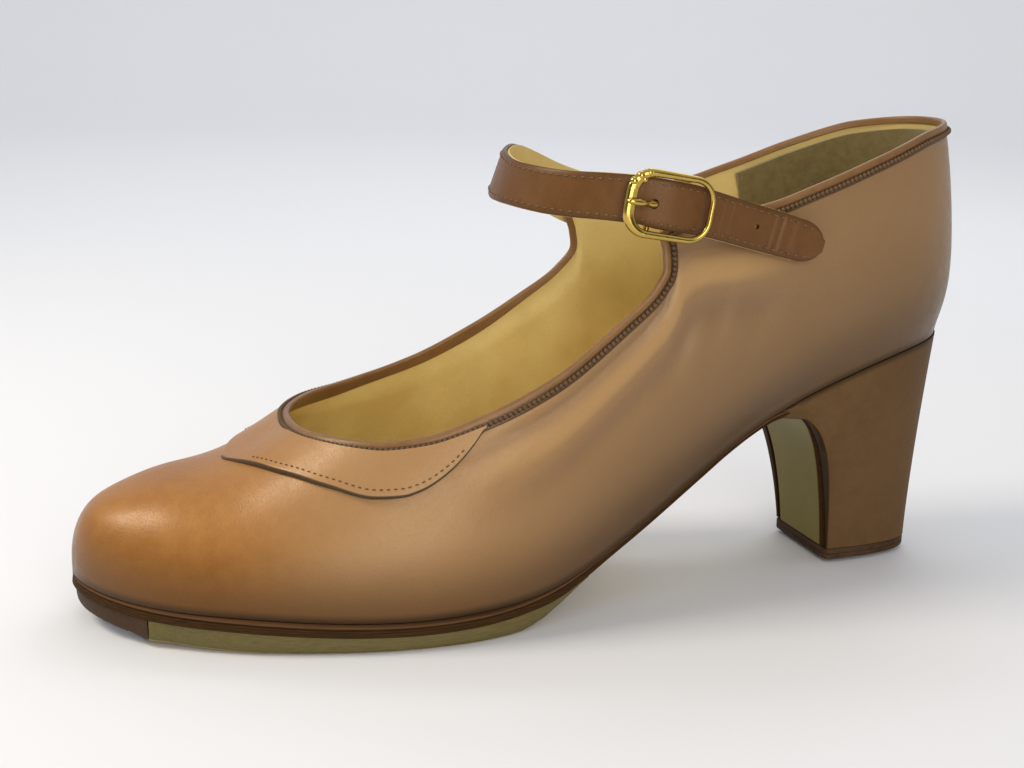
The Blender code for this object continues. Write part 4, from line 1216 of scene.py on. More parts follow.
def waist_leather(tones):
    """Outsole leather: polished cream below with painted shade down the breast, burnished brown with fine
    grooves at the edge and a pale top with a painted highlight.
    """
    hide = Finish("cream_outsole_leather")
    rim = hide.painted("rim")
    cloud = hide.noise(26.0, 3.0).between(0.3, 0.7)
    fleck = hide.noise(0.9, 4.0)
    streak = hide.noise(1.6, 3.0, 0.6, (0.12, 1.0, 5.0))
    cream = hide.mix(cloud * 0.5, tuple(tones.waist), darker(tones.waist, 0.84))
    cream = hide.mix(fleck.between(0.55, 0.8) * 0.2, cream, darker(tones.waist, 0.6))
    # Painted shade: the cream turns dark olive down the heel's breast.
    olive = hide.mix(cloud, tuple(tones.breast), darker(tones.breast, 0.8))
    cream = hide.mix(hide.painted("breast"), cream, olive)
    brown = hide.mix(streak.between(0.3, 0.7), darker(tones.edge, 0.6), tuple(tones.edge))
    # A paler welt line with a painted highlight along the top of the edge.
    brown = hide.mix(hide.painted("lip") * 0.25, brown, (0.26, 0.13, 0.065))
    height = streak * rim
    return hide.surface(
        Base_Color=hide.mix(rim, cream, brown),
        Roughness=0.24 + rim * 0.34 + hide.painted("breast") * 0.16,
        Coat_Weight=(1.0 - rim) * (0.4 - hide.painted("breast") * 0.36),
        Coat_Roughness=0.12,
        Specular_IOR_Level=0.06,
        Normal=hide.relief(height, 0.06),
    )


class SHOE_OT_outsole(bpy.types.Operator):
    """Shape the leather outsole from the heel tip over the breast and waist to the toe"""
    bl_idname = "shoe.outsole"
    bl_label = "Outsole"

    def execute(self, context):
        first = float(turn_of(WAIST_START))
        turns = np.linspace(first, math.pi - TIP_STOP, 64)
        left, right, left_out, right_out, depth, path = [], [], [], [], [], []
        for x, z, half in FLAP:
            left.append((x, half, z))
            right.append((x, -half, z))
            left_out.append((0.0, 1.0, 0.0))
            right_out.append((0.0, -1.0, 0.0))
            depth.append(FLAP_THICK)
            path.append((x, z))
        for turn in turns:
            x = float(station(turn))
            for angle, places, outs in ((turn, left, left_out), (2.0 * math.pi - turn, right, right_out)):
                flat = feather(angle, by_station(SOLE_MARGIN, x))
                places.append((*flat, float(feather_z(flat[0])) - GAP))
                outs.append((*outward(angle), 0.0))
            depth.append(sole_depth(x))
            path.append((x, float(feather_z(x)) - GAP))
        run = run_along(np.array(path))
        pace = (turns[1] - turns[0]) / (run[len(FLAP) + 1] - run[len(FLAP)])
        clock = np.concatenate(((run[:len(FLAP)] - run[len(FLAP)]) * pace, turns - first))
        bend = np.interp((BREAST_BEND - BREAST_REACH, BREAST_BEND + BREAST_REACH), run, clock)
        fine = np.concatenate((np.linspace(clock[0], bend[0], SOLE_POINTS[0], endpoint=False),
                               np.linspace(bend[0], bend[1], SOLE_POINTS[1], endpoint=False),
                               np.linspace(bend[1], clock[-1], SOLE_POINTS[2])))
        sides = (natural(clock, np.array(v))(fine) for v in (left, right, left_out, right_out))
        left, right, left_out, right_out = sides
        middle = natural(clock, np.array(path))(fine)
        depth = np.interp(fine, clock, depth)
        far = np.interp(fine, clock, run)
        slope = unit(np.gradient(middle, axis=0))
        toe = eased(middle[:, 0], TOE_SPLIT - TOE_BLEND, TOE_SPLIT)[:, None]
        slope = unit(slope * (1.0 - toe) + np.array((1.0, TOE_SLOPE)) * toe)
        edge = np.array(SOLE_EDGE)
        across = np.linspace(0.0, 1.0, SOLE_ACROSS)[1:-1]
        rings, rim, lip, breast = [], [], [], []
        for i in range(len(fine)):
            way = np.array((slope[i, 1], 0.0, -slope[i, 0]))
            past = far[i] - BREAST_BEND
            bevel = 1.0 - float(eased(past, *BEVEL_END))
            step = (edge[:, 0] - WAIST_BEVEL * bevel * np.clip((edge[:, 1] - 0.35) / 0.65, 0.0, 1.0))[:, None]
            first = left[i] + left_out[i] * step + way * depth[i] * edge[:, 1:]
            last_side = (right[i] + right_out[i] * step + way * depth[i] * edge[:, 1:])[::-1]
            under = first[-1] + (last_side[0] - first[-1]) * across[:, None]
            under = under + way * breast_wrinkles(far[i], under[:, 1])[:, None]
            over = last_side[-1] + (first[0] - last_side[-1]) * np.array(((0.33,), (0.67,)))
            rings.append(np.concatenate((first, under, last_side, over)))
            mark = np.where(edge[:, 1] > FACE_SHARE, 0.0, 1.0)
            # Points at the top of the edge carry the painted highlight.
            shine = np.where(edge[:, 1] < LIP_SHARE, 1.0, 0.0)
            rim.append(np.concatenate((mark, np.zeros(len(under)), mark[::-1], np.ones(2))))
            lip.append(np.concatenate((shine, np.zeros(len(under)), shine[::-1], np.zeros(2))))
            breast.append(np.full(len(rings[-1]), 1.0 - eased(past, *BREAST_SHADE_END)))
        marks = {"rim": rim, "lip": lip, "breast": breast}
        finish = waist_leather(settings().leathers)
        item = sweep("leather_outsole", rings, finish, marks=marks)
        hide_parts("outsole")
        return {"FINISHED"}


def under_sole(x):
    """Height of the outsole's lower face in the forepart."""
    slope = float(feather_z(x + 0.5) - feather_z(x - 0.5))
    return float(feather_z(x)) - GAP - sole_depth(x) / math.cos(math.atan(slope))


# Edge of the half sole: inset from the outsole's edge and share of the way down.
PLATE_EDGE = (
    (0.45, 0.0), (0.42, 0.12), (0.4, 0.35), (0.45, 0.52), (0.6, 0.72), (0.95, 0.88), (1.5, 0.97), (2.2, 1.0),
)


# The half sole's back end is skived: length of the slope and share of its thickness that is left.
SKIVE_LENGTH, SKIVE_LEFT = 20.0, 0.3


def plate_bottom(x):
    """Height of the half sole's lower face, which thins out towards the waist."""
    top = under_sole(x)
    past = float(eased(x, HALF_SOLE_BACK, HALF_SOLE_BACK + SKIVE_LENGTH))
    return top + (by_station(SOLE_BOTTOM, x) - top) * (SKIVE_LEFT + (1.0 - SKIVE_LEFT) * past)


def bottom_plate(name, first, end, finish, node):
    """Layer under the outsole, with its end at the toe piece's joint squared off across the shoe."""
    turns = np.linspace(float(turn_of(first)), float(turn_of(end)), 96)
    turns[-1] = min(turns[-1], math.pi - 0.008)
    across = np.linspace(0.0, 1.0, 30)[1:-1]
    edge = np.array(PLATE_EDGE)
    rings, rim = [], []
    for turn in turns:
        x_line = float(station(turn))
        level = bump_at(x_line, TOE_SPLIT, 2.5)
        sides = []
        for angle in (turn, 2.0 * math.pi - turn):
            side = []
            for inset, share in PLATE_EDGE:
                flat = feather(angle, by_station(SOLE_MARGIN, x_line) - inset)
                flat[0] += (x_line - flat[0]) * level
                top = under_sole(flat[0]) - 0.05
                side.append((*flat, top + (plate_bottom(flat[0]) - top) * share))
            sides.append(np.array(side))
        left, right = sides[0], sides[1][::-1]
        under = left[-1] + (right[0] - left[-1]) * across[:, None]
        under[:, 2] = [plate_bottom(x) for x in under[:, 0]]
        over = right[-1] + (left[0] - right[-1]) * np.array(((0.33,), (0.67,)))
        rings.append(np.concatenate((left, under, right, over)))
        mark = np.where(edge[:, 1] < 0.93, 1.0, 0.0)
        rim.append(np.concatenate((mark, np.zeros(len(under)), mark[::-1], np.ones(2))))
    item = sweep(name, rings, finish, marks={"rim": rim})
    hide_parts(node)
    return item


def sanded_leather(name, tone, edge_tone, speck=0.55):
    """Sole leather with a sanded lower face and a plain cut edge."""
    hide = Finish(name)
    rim = hide.painted("rim")
    cloud = hide.noise(30.0, 3.0).between(0.3, 0.7)
    grit = hide.noise(0.75, 4.0, 0.7)
    nap = hide.cells(0.62).between(0.1, 0.7)
    lay = hide.noise(0.8, 3.0, 0.6, (0.15, 1.0, 3.0))
    face = hide.mix(cloud * 0.5, tone, darker(tone, 0.82))
    face = hide.mix(grit.between(0.42, 0.68) * speck, face, darker(tone, 0.58))
    side = hide.mix(lay.between(0.3, 0.7), darker(edge_tone, 0.74), edge_tone)
    height = grit * 0.6 + nap * 0.4 - rim * nap * 0.3
    return hide.surface(
        Base_Color=hide.mix(rim, face, side),
        Roughness=0.82 - rim * 0.22 + grit * 0.1,
        Specular_IOR_Level=0.3,
        Normal=hide.relief(height, 0.22),
    )


class SHOE_OT_half_sole(bpy.types.Operator):
    """Lay the half sole and the toe piece under the outsole"""
    bl_idname = "shoe.half_sole"
    bl_label = "Half sole and toe piece"

    def execute(self, context):
        tones = settings().leathers
        # The half sole's edge tone holds painted shade.
        half = sanded_leather("sanded_half_sole", tuple(tones.half_sole), tuple(tones.half_edge))
        bottom_plate("leather_half_sole", HALF_SOLE_BACK, TOE_SPLIT, half, "half_sole")
        toe = sanded_leather("brown_toe_piece", tuple(tones.edge), tuple(tones.edge), 0.3)
        bottom_plate("toe_edge_piece", TOE_SPLIT + TOE_JOINT, LENGTH, toe, "toe_piece")
        return {"FINISHED"}


# The sock's inset from the feather line and the heights of its two faces over it.
SOCK_INSET = 2.4
SOCK_LOW = 0.25
SOCK_HIGH = 2.3


class SHOE_OT_insole(bpy.types.Operator):
    """Lay the cream sock on the insole inside the shoe"""
    bl_idname = "shoe.insole"
    bl_label = "Insole"

    def execute(self, context):
        across = np.linspace(-1.0, 1.0, 25)
        rings = []
        for turn in np.linspace(0.05, math.pi - 0.045, 110):
            ends = [feather(angle, -SOCK_INSET) for angle in (turn, 2.0 * math.pi - turn)]
            top, low = [], []
            for share in across:
                x, y = ends[0] + (ends[1] - ends[0]) * 0.5 * (share + 1.0)
                z = float(feather_z(x))
                dish = SOCK_HIGH + 0.5 * abs(share) ** 3 - 0.9 * abs(share) ** 24
                top.append((x, y, z + dish))
                low.append((x, y, z + SOCK_LOW))
            rings.append(top + low[::-1])
        sock = lining_leather("cream_sock", tuple(settings().leathers.lining))
        item = sweep("sock_insole", rings, sock)
        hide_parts("insole")
        return {"FINISHED"}


# Heel

RING_COUNT = 96
TIP_CORNER = 1.8


def even_share():
    """Shares from 0 to 1 that lie closer together at both ends."""
    return 0.5 - 0.5 * np.cos(np.linspace(0.0, math.pi, RING_COUNT))


def tip_ring(z, inset=0.0, front=TIP_FRONT, corner=0.0):
    """Outline of the heel tip: a straight front with eased corners and a round back."""
    turn = math.pi * even_share()
    x = front - inset - (front - TIP_BACK - 2.0 * inset) * np.sin(turn) ** 0.8
    c = np.cos(turn)
    half = TIP_HALF - inset
    y = half * np.abs(c) ** 0.55
    if corner:
        past = np.clip(x - (front - inset - corner), 0.0, corner)
        y = np.minimum(y, half - corner + np.sqrt(corner ** 2 - past ** 2))
    return np.column_stack((x, np.copysign(y, c), np.full(len(turn), z)))


def lift_leather(tones):
    """Stacked lift leather with fibres along its layers."""
    hide = Finish("brown_lift_leather")
    layer = hide.noise(1.3, 4.0, 0.65, (0.5, 0.5, 3.0))
    fibre = hide.noise(0.5, 4.0, 0.6, (0.25, 1.0, 1.0))
    worn = hide.noise(6.0, 3.0).between(0.45, 0.75)
    # The lift's tone holds painted shade as well as its own brown.
    body = hide.mix(layer.between(0.3, 0.7), darker(tones.lift, 0.5), tuple(tones.lift))
    body = hide.mix(fibre.between(0.5, 0.75) * 0.4, body, darker(tones.lift, 0.35))
    body = hide.mix(hide.painted("seam") * 0.8, body, darker(tones.edge, 0.5))
    body = hide.mix(worn * 0.08, body, (0.36, 0.2, 0.11))
    return hide.surface(Base_Color=body, Roughness=0.6 + fibre * 0.25, Specular_IOR_Level=0.2,
                        Normal=hide.relief(fibre, 0.15))


# The lift from bottom to top: height and inset.
LIFT_EDGE = (
    (0.9, 0.7), (0.98, 0.35), (1.2, 0.1), (1.5, 0.0), (2.3, 0.0), (2.42, 0.14), (2.55, 0.0), (3.6, 0.0),
    (3.85, 0.15), (4.0, 0.5),
)
# How far the cover's rim stays behind the flap's outer face.
RIM_BACK = 0.35
# The rim darkens from the heel's side round to the flap.
RIM_DARK = np.array((1.0, 0.02, 0.0, 0.0, 0.0, 0.0))
COVER_HEIGHT = 42.0
COVER_RINGS = 48
# Stations between which the cover's rim may reach up to the upper, and how far it stays below it.
RIM_STATIONS = (40.0, 66.0)
RIM_BELOW = 0.35
RIM_LEAST = 0.3
# The cover starts this far over the lift.
LIFT_SEAM = 0.03
# Height over which the cover is stained along its top seam.
COVER_STAIN = 1.6


def cover_leather(tones):
    """Leather of the heel's cover, stained along its top seam and its rims."""
    def tint(hide, body):
        stain = 1.0 - hide.painted("below").between(0.0, COVER_STAIN)
        return hide.mix(stain * 0.8, body, darker(tones.edge, 0.5))

    # The cover's tone holds painted shade as well as the leather's own brown.
    deep = darker(tones.cover, 0.78)
    return leather("brown_heel_cover", tuple(tones.cover), deep, rough=0.5, coat=0.0, shine=0.04, tint=tint)


class SHOE_OT_heel(bpy.types.Operator):
    """Cover the heel block with leather and set its lift"""
    bl_idname = "shoe.heel"
    bl_label = "Heel"

    def execute(self, context):
        tones = settings().leathers
        rings, below = self.cover_rings()
        item = sweep("heel_cover", rings, cover_leather(tones), marks={"below": below})
        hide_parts("heel_block")
        rings = [tip_ring(z, inset, corner=TIP_CORNER) for z, inset in LIFT_EDGE]
        seam = np.repeat([1.0 if inset > 0.1 and z > 2.0 else 0.0 for z, inset in LIFT_EDGE], RING_COUNT)
        item = sweep("heel_top_lift", rings, lift_leather(tones), marks={"seam": seam})
        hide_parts("heel_lift")
        return {"FINISHED"}

    def cover_rings(self):
        """Rings of the cover from the lift to the seat, with a rim on each side of the flap."""
        base_z, front = LIFT_Z[1] + LIFT_SEAM, FLAP[0][0] - GAP
        low = tip_ring(base_z, 0.0, front)
        half_turn = float(turn_of(SEAT_FRONT))
        top = []
        for share in even_share():
            flat = feather((half_turn * (1.0 - 2.0 * share)) % (2.0 * math.pi), SEAT_MARGIN)
            if share in (0.0, 1.0):
                flat[0] = SEAT_FRONT
            top.append((*flat, float(feather_z(flat[0])) - 0.12))
        top = np.array(top)
        weight = ((top[:, 0] - top[:, 0].min()) / (SEAT_FRONT - top[:, 0].min())) ** 2
        seat_z = top[0, 2]
        flap = np.array(FLAP)
        breast = natural(np.append(flap[:7, 1], seat_z), np.append(flap[:7, 0] - 3.0 * GAP, SEAT_FRONT))
        run = run_along(flap[:, :2])
        line = natural(run, flap)(np.linspace(0.0, run[-1], 160))
        slope = unit(np.gradient(line[:, :2], axis=0))
        outer = line[:, :2] + np.column_stack((slope[:, 1], -slope[:, 0])) * FLAP_THICK
        crest, high = int(np.argmax(outer[:, 1])), int(np.argmax(line[:, 1]))
        seam = np.array([(x, float(feather_z(x))) for x in np.linspace(*RIM_STATIONS, 60)])
        rings, below = [], []
        for level in np.linspace(0.0, 1.0, COVER_RINGS):
            flare = level ** HEEL_FLARE
            z = base_z + (seat_z - base_z) * level
            inward = (float(breast(z)) - front) / (SEAT_FRONT - front)
            move = weight * inward + (1.0 - weight) * flare
            x = low[:, 0] + (top[:, 0] - low[:, 0]) * move
            y = low[:, 1] + (top[:, 1] - low[:, 1]) * flare
            ring = np.column_stack((x, y, base_z + (top[:, 2] - base_z) * level))
            reach = float(np.interp(z, outer[:crest, 1], outer[:crest, 0])) - RIM_BACK - ring[0, 0]
            half = float(np.interp(z, line[:high, 1], line[:high, 2]))
            room = float(np.interp(-(z + RIM_BELOW), -seam[:, 1], seam[:, 0])) - ring[0, 0]
            forward = room if z > outer[crest, 1] else min(max(reach, RIM_LEAST), room)
            rings.append(self.with_rim(ring, half, max(forward, RIM_LEAST)))
            drop = COVER_HEIGHT * (1.0 - level)
            below.append(np.concatenate((np.full(len(ring), drop), RIM_DARK * drop, RIM_DARK[::-1] * drop)))
        return rings, below

    def with_rim(self, ring, flap_half, forward):
        """The ring with a rim of leather that stands forward beside the flap."""
        ends = []
        for corner in (ring[-1], ring[0]):
            sign = math.copysign(1.0, corner[1])
            edge, inner = abs(corner[1]), min(flap_half + 0.2, abs(corner[1]) - 0.3)
            tip = edge - (edge - inner - 0.25) * float(eased(forward, 3.0, 9.0))
            steps = ((0.5 * forward, 0.6 * edge + 0.4 * tip), (forward - 0.25, tip - 0.06),
                     (forward, max(tip - 0.3, inner + 0.15)), (forward, inner + 0.1),
                     (forward - 0.15, inner), (0.0, inner))
            ends.append([(corner[0] + step, sign * y, corner[2]) for step, y in steps])
        return np.concatenate((ring, ends[0], ends[1][::-1]))


# Nails

# A nail head: share of the radius, and share of the thickness below the domed face.
NAIL_SECTION = ((0.12, 0.0), (0.5, 0.05), (0.78, 0.2), (0.94, 0.5), (1.0, 0.8), (0.97, 1.0), (0.12, 1.0))
NAIL_THICK = 0.55
NAIL_SIDES = 20
NAIL_LEAN = 0.13
# How far the heel's border of nails lies inside its edge, and the stations that the toe's field spans.
HEEL_NAIL_INSET = 4.6
TOE_NAIL_SPAN = (TOE_SPLIT + 0.6, 220.6)
TOE_NAIL_SINK = 0.75


def nail_steel(tone):
    """Bright nail steel with file marks, scratches and dulled spots."""
    steel = Finish("nail_steel")
    scratch = steel.noise(0.5, 4.0, 0.65, (1.0, 0.16, 1.0))
    tarnish = steel.noise(3.0, 3.0).between(0.4, 0.7)
    body = steel.mix(tarnish * 0.6, tone, darker(tone, 0.6))
    return steel.surface(Base_Color=body, Metallic=1.0, Roughness=0.26 + scratch * 0.22 + tarnish * 0.12,
                         Normal=steel.relief(scratch, 0.12))


def nail_heads(name, places, radius, finish, node, rise=0.0, pivot=0.0, base=0.0):
    """Lapped nail heads, each leaning on the next; rise tilts the whole field about a station."""
    draw = np.random.default_rng(5)
    turn = np.linspace(0.0, 2.0 * math.pi, NAIL_SIDES, endpoint=False)
    groups = []
    for x, y, heading in places:
        wide = radius * (1.0 + 0.05 * draw.standard_normal())
        rings = []
        for r, d in NAIL_SECTION:
            level = np.full(NAIL_SIDES, NAIL_THICK * d)
            rings.append(np.column_stack((wide * r * np.cos(turn), wide * r * np.sin(turn), level)))
        tip = NAIL_LEAN + 0.02 * draw.standard_normal()
        spin = np.array(Matrix.Rotation(heading, 3, "Z") @ Matrix.Rotation(tip, 3, "Y"))
        shape = np.array(rings) @ spin.T
        shape[..., 2] += radius * math.sin(NAIL_LEAN) + base
        groups.append(shape + (x + 0.1 * draw.standard_normal(), y + 0.1 * draw.standard_normal(), 0.0))
    groups = np.array(groups)
    groups[..., 2] += (groups[..., 0] - pivot) * math.tan(rise)
    item = repeat(name, groups, finish, 38.0)
    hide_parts(node)
    return item


def heel_nail_places(radius):
    """Rows across the heel tip inside a border of nails along its round back."""
    inset = HEEL_NAIL_INSET
    border = tip_ring(0.0, inset)
    run = run_along(border)
    count = int(run[-1] / (1.55 * radius))
    places = []
    for s in np.linspace(0.0, run[-1], count):
        x, y = (np.interp(s, run, border[:, k]) for k in (0, 1))
        places.append((x, y, math.atan2(y, x - TIP_FRONT + 9.0)))
    pitch = 1.62 * radius
    lines = np.arange(TIP_BACK + inset + 1.6 * radius, TIP_FRONT - inset + 0.5, 1.35 * radius)
    for row, x in enumerate(lines):
        share = np.clip((TIP_FRONT - inset - x) / (TIP_FRONT - TIP_BACK - 2.0 * inset), 0.0, 1.0)
        half = (TIP_HALF - inset) * (1.0 - share ** 2.5) ** 0.275 - 1.1 * radius
        spots = np.arange(-8, 9) * pitch + 0.5 * pitch * (row % 2)
        places.extend((x, y, 0.0) for y in spots if abs(y) < half)
    return places


def toe_nail_places(radius):
    """Staggered rows across the toe."""
    turns = np.linspace(float(turn_of(TOE_SPLIT - 4.0)), math.pi, 40)
    sides = []
    for sign in (1.0, -1.0):
        line = [feather(sign * a, by_station(SOLE_MARGIN, station(a)) - 1.2 - radius) for a in turns]
        sides.append(np.array(line))
    tip = min(sides[0][-1, 0], sides[1][-1, 0])
    places = []
    for row, x in enumerate(np.arange(TOE_SPLIT + radius + 0.2, tip, 1.22 * radius)):
        outer, inner = (float(np.interp(x, side[:, 0], side[:, 1])) for side in sides)
        count = max(int((outer - inner) / (1.62 * radius)), 1)
        spots = np.linspace(inner, outer, count + 1)
        if row % 2:
            spots = 0.5 * (spots[1:] + spots[:-1])
        places.extend((x, y, math.pi) for y in spots)
    return places


class SHOE_OT_nails(bpy.types.Operator):
    """Drive the lapped nails under heel and toe"""
    bl_idname = "shoe.nails"
    bl_label = "Nails"

    def execute(self, context):
        metal = settings().metal
        steel = nail_steel(tuple(metal.steel))
        radius = metal.heel_nail / MM
        places = heel_nail_places(radius)
        nail_heads("heel_nail_heads", places, radius, steel, "heel_nails")
        radius = metal.toe_nail / MM
        start, end = TOE_NAIL_SPAN
        low, high = (by_station(SOLE_BOTTOM, x) for x in TOE_NAIL_SPAN)
        rise = math.atan2(high - low, end - start)
        nail_heads("toe_nail_heads", toe_nail_places(radius), radius, steel, "toe_nails",
                   rise, start, low - TOE_NAIL_SINK)
        return {"FINISHED"}


# Strap and buckle

def strap_swell(x):
    """How far the strap swells inside the buckle, and dips where it dives under the front bar."""
    swell = 0.75 * bump_at(x, BUCKLE_X - 1.5, 5.0)
    return swell - 0.45 * bump_at(x, BUCKLE_X + 7.2, 2.2) - 0.25 * bump_at(x, BUCKLE_X - 10.5, 2.4)


def strap_path(worn=True):
    """Strap sections: middle, forward, outward and upward directions and half widths."""
    table = np.array(STRAP)
    run = run_along(table[:, :3])
    start = run[STRAP_TAIL]
    body, tail, end = STRAP_SECTIONS
    places = np.concatenate((np.linspace(0.0, start, body, endpoint=False), np.linspace(start, run[-3], tail),
                             np.linspace(run[-3], run[-1], end)[1:]))
    middle = natural(run, table[:, :3])(places)
    above, below, lean = (steady(run, table[:, k])(places) for k in (3, 4, 5))
    past = np.clip((places - run[-3]) / (run[-1] - run[-3]), 0.0, 1.0)
    pinch = np.sqrt(np.maximum(1.0 - past ** 2.4, 0.09))
    above, below = (np.where(past > 0.0, side[-end] * pinch, side) for side in (above, below))
    forward = unit(np.gradient(middle, axis=0))
    rough = unit(np.column_stack((-lean, np.zeros(len(lean)), np.ones(len(lean)))))
    up = unit(rough - forward * (rough * forward).sum(axis=1, keepdims=True))
    out = np.cross(forward, up)
    if worn:
        late = (np.arange(len(middle)) > len(middle) // 2)[:, None]
        middle = middle + out * strap_swell(middle[:, :1]) * late
    return middle, forward, out, up, above, below


# Soft creases across the strap's tail: station, half width and depth.
STRAP_CREASES = (
    (65.6, 0.7, 0.22), (63.4, 0.6, 0.3), (60.6, 0.9, 0.2), (79.6, 0.7, 0.2), (77.2, 0.6, 0.24),
)
# Where the strap's leather meets its lining, out from its middle.
STRAP_SPLIT = -0.3
# Distance of the stitches from the strap's edges, their height, and the sections that they leave free.
STRAP_MARGIN = 1.25
STRAP_SEWN = STRAP_HALF + 0.05
STRAP_ROOT, STRAP_END = 4, -8
STRAP_HOLES = (69.4,)
STRAP_HOLE = 0.6
PRONG_HOLE = 1.15


def strap_rings(path, high, low, edge, crease=False):
    """Rings of a band between two distances from the strap's middle surface, with eased edges."""
    middle, _, out, up, above, below = path
    rings = []
    for i in range(len(middle)):
        top, bottom = above[i] - edge, -below[i] + edge
        dent = 0.0
        if crease and i > len(middle) // 2:
            dent = sum(d * bump_at(middle[i, 0], x, w) for x, w, d in STRAP_CREASES)
        face = [(high - 0.25, top), (high - 0.06, top - 0.3)]
        face += [(high + 0.06 - dent, top + (bottom - top) * s) for s in np.linspace(0.12, 0.88, 9)]
        face += [(high - 0.06, bottom + 0.3), (high - 0.25, bottom)]
        back = [(low + 0.15, bottom), (low, bottom + 0.25), (low, 0.5 * (top + bottom)), (low, top - 0.25),
                (low + 0.15, top)]
        rings.append([middle[i] + out[i] * n + up[i] * u for n, u in face + back])
    return rings


def buckle_frame():
    """Middle of the strap under the buckle with its forward, outward and upward directions."""
    middle, forward, out, up = strap_path(worn=False)[:4]
    half = len(middle) // 2
    i = half + int(np.argmin(np.abs(middle[half:, 0] - BUCKLE_X)))
    return middle[i], -forward[i], out[i], up[i]


def strap_leather(tones):
    """Leather of the strap, dark along its painted edges."""
    def tint(hide, body):
        return hide.mix(hide.painted("rim") * 0.7, body, darker(tones.edge, 0.8))

    deep = darker(tones.strap, 0.78)
    return leather("tan_strap_leather", tuple(tones.strap), deep, rough=0.4, coat=0.06, shine=0.26, tint=tint)


def punch(item, holes):
    """Cut round holes through a piece: middle, axis and radius of each."""
    for centre, axis, radius in holes:
        work = bmesh.new()
        wide = radius * MM
        bmesh.ops.create_cone(work, cap_ends=True, segments=20, radius1=wide, radius2=wide, depth=8.0 * MM)
        mesh = bpy.data.meshes.new("punch")
        work.to_mesh(mesh)
        work.free()
        turn = Vector(axis).to_track_quat("Z", "Y").to_matrix().to_4x4()
        mesh.transform(Matrix.Translation(place_in_frame(centre)[0]) @ turn)
        tool = bpy.data.objects.new("punch", mesh)
        bpy.context.scene.collection.objects.link(tool)
        cut = item.modifiers.new("hole", "BOOLEAN")
        cut.object = tool
        cut.solver = "EXACT"
        bpy.context.view_layer.update()
        shape = item.evaluated_get(bpy.context.evaluated_depsgraph_get())
        old = item.data
        item.data = bpy.data.meshes.new_from_object(shape)
        item.modifiers.clear()
        bpy.data.meshes.remove(old)
        bpy.data.objects.remove(tool)
        bpy.data.meshes.remove(mesh)


class SHOE_OT_strap(bpy.types.Operator):
    """Sew the instep strap from two leathers and punch its holes"""
    bl_idname = "shoe.strap"
    bl_label = "Instep strap"

    def execute(self, context):
        tones, sewing = settings().leathers, settings().sewing
        path = strap_path()
        middle, _, out, up, above, below = path
        rings = strap_rings(path, STRAP_HALF, STRAP_SPLIT, 0.0, True)
        marks = {"rim": np.tile([1.0, 0.6] + [0.0] * 9 + [0.6, 1.0] + [1.0] * 5, len(rings))}
        band = sweep("instep_strap", rings, strap_leather(tones), sharp=55.0, marks=marks)
        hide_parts("strap")
        rings = strap_rings(path, STRAP_SPLIT - 0.03, -STRAP_HALF, -0.08)
        lining = lining_leather("cream_strap_lining", tuple(tones.lining))
        backing = sweep("strap_lining", rings, lining, sharp=55.0)
        centre, along, away, _ = buckle_frame()
        half = len(middle) // 2
        holes = [(centre + along * (BUCKLE_PIVOT + 0.4), away, PRONG_HOLE)]
        for x in STRAP_HOLES:
            i = half + int(np.argmin(np.abs(middle[half:, 0] - x)))
            holes.append((middle[i] + up[i] * 0.2, out[i], STRAP_HOLE))
        punch(band, holes)
        punch(backing, holes)
        rows = []
        for sign, width in ((1.0, above), (-1.0, below)):
            line = middle + out * STRAP_SEWN + up * (sign * (width - STRAP_MARGIN))[:, None]
            rows.append((line[STRAP_ROOT:STRAP_END], out[STRAP_ROOT:STRAP_END]))
        root_out = out[STRAP_ROOT]
        root = middle[STRAP_ROOT] + root_out * STRAP_SEWN
        ends = np.linspace(above[STRAP_ROOT] - STRAP_MARGIN, STRAP_MARGIN - below[STRAP_ROOT], 8)
        rows.append((root + up[STRAP_ROOT] * ends[:, None], np.tile(root_out, (len(ends), 1))))
        stitch_rows("strap_stitches", rows, thread("tan_thread", tuple(sewing.tan)), "strap_leather",
                    sewing.length / MM, sewing.pitch / MM, sewing.radius / MM)
        return {"FINISHED"}


def plated_brass(tone):
    """Polished gold plating with a few fine rubs."""
    brass = Finish("gold_brass")
    rub = brass.noise(0.9, 4.0, 0.6, (1.0, 1.0, 0.3))
    haze = brass.noise(5.0, 3.0).between(0.35, 0.7)
    body = brass.mix(haze * 0.5, tone, darker(tone, 0.78))
    rough = 0.1 + rub.between(0.45, 0.75) * 0.12 + haze * 0.06
    return brass.surface(Base_Color=body, Metallic=1.0, Roughness=rough, Normal=brass.relief(rub, 0.03))


WIRE_SIDES = 16


def wire_rings(points, away, wide, high, closed=False):
    """Rings of a wire along points; wide is its half width and high its half height along away."""
    points = np.asarray(points, float)
    if closed:
        forward = unit(np.roll(points, -1, axis=0) - np.roll(points, 1, axis=0))
    else:
        forward = unit(np.gradient(points, axis=0))
    side = unit(np.cross(forward, away))
    up = np.cross(side, forward)
    wide, high = (np.broadcast_to(v, len(points))[:, None, None] for v in (wide, high))
    turn = np.linspace(0.0, 2.0 * math.pi, WIRE_SIDES, endpoint=False)[None, :, None]
    return points[:, None] + side[:, None] * np.cos(turn) * wide + up[:, None] * np.sin(turn) * high


# Half width of the buckle's wire by place along the frame.
BUCKLE_WIDE = ((-9.8, 0.66), (-5.0, 0.74), (3.0, 0.8), (7.0, 1.05), (9.6, 1.4))
BUCKLE_HIGH = 0.85
# How far the frame's ends bow down to the strap, and how deep the beads sit in it.
BUCKLE_BOW = 0.27
BUCKLE_LIFT = 0.25
CLEAR = 0.1
BEAD_SINK = 0.15
# The prong's free end from its thick stem: share of the length and share of the thickness.
PRONG_TAPER = ((0.0, 1.0), (0.8, 1.0), (0.94, 0.9), (1.0, 0.4))
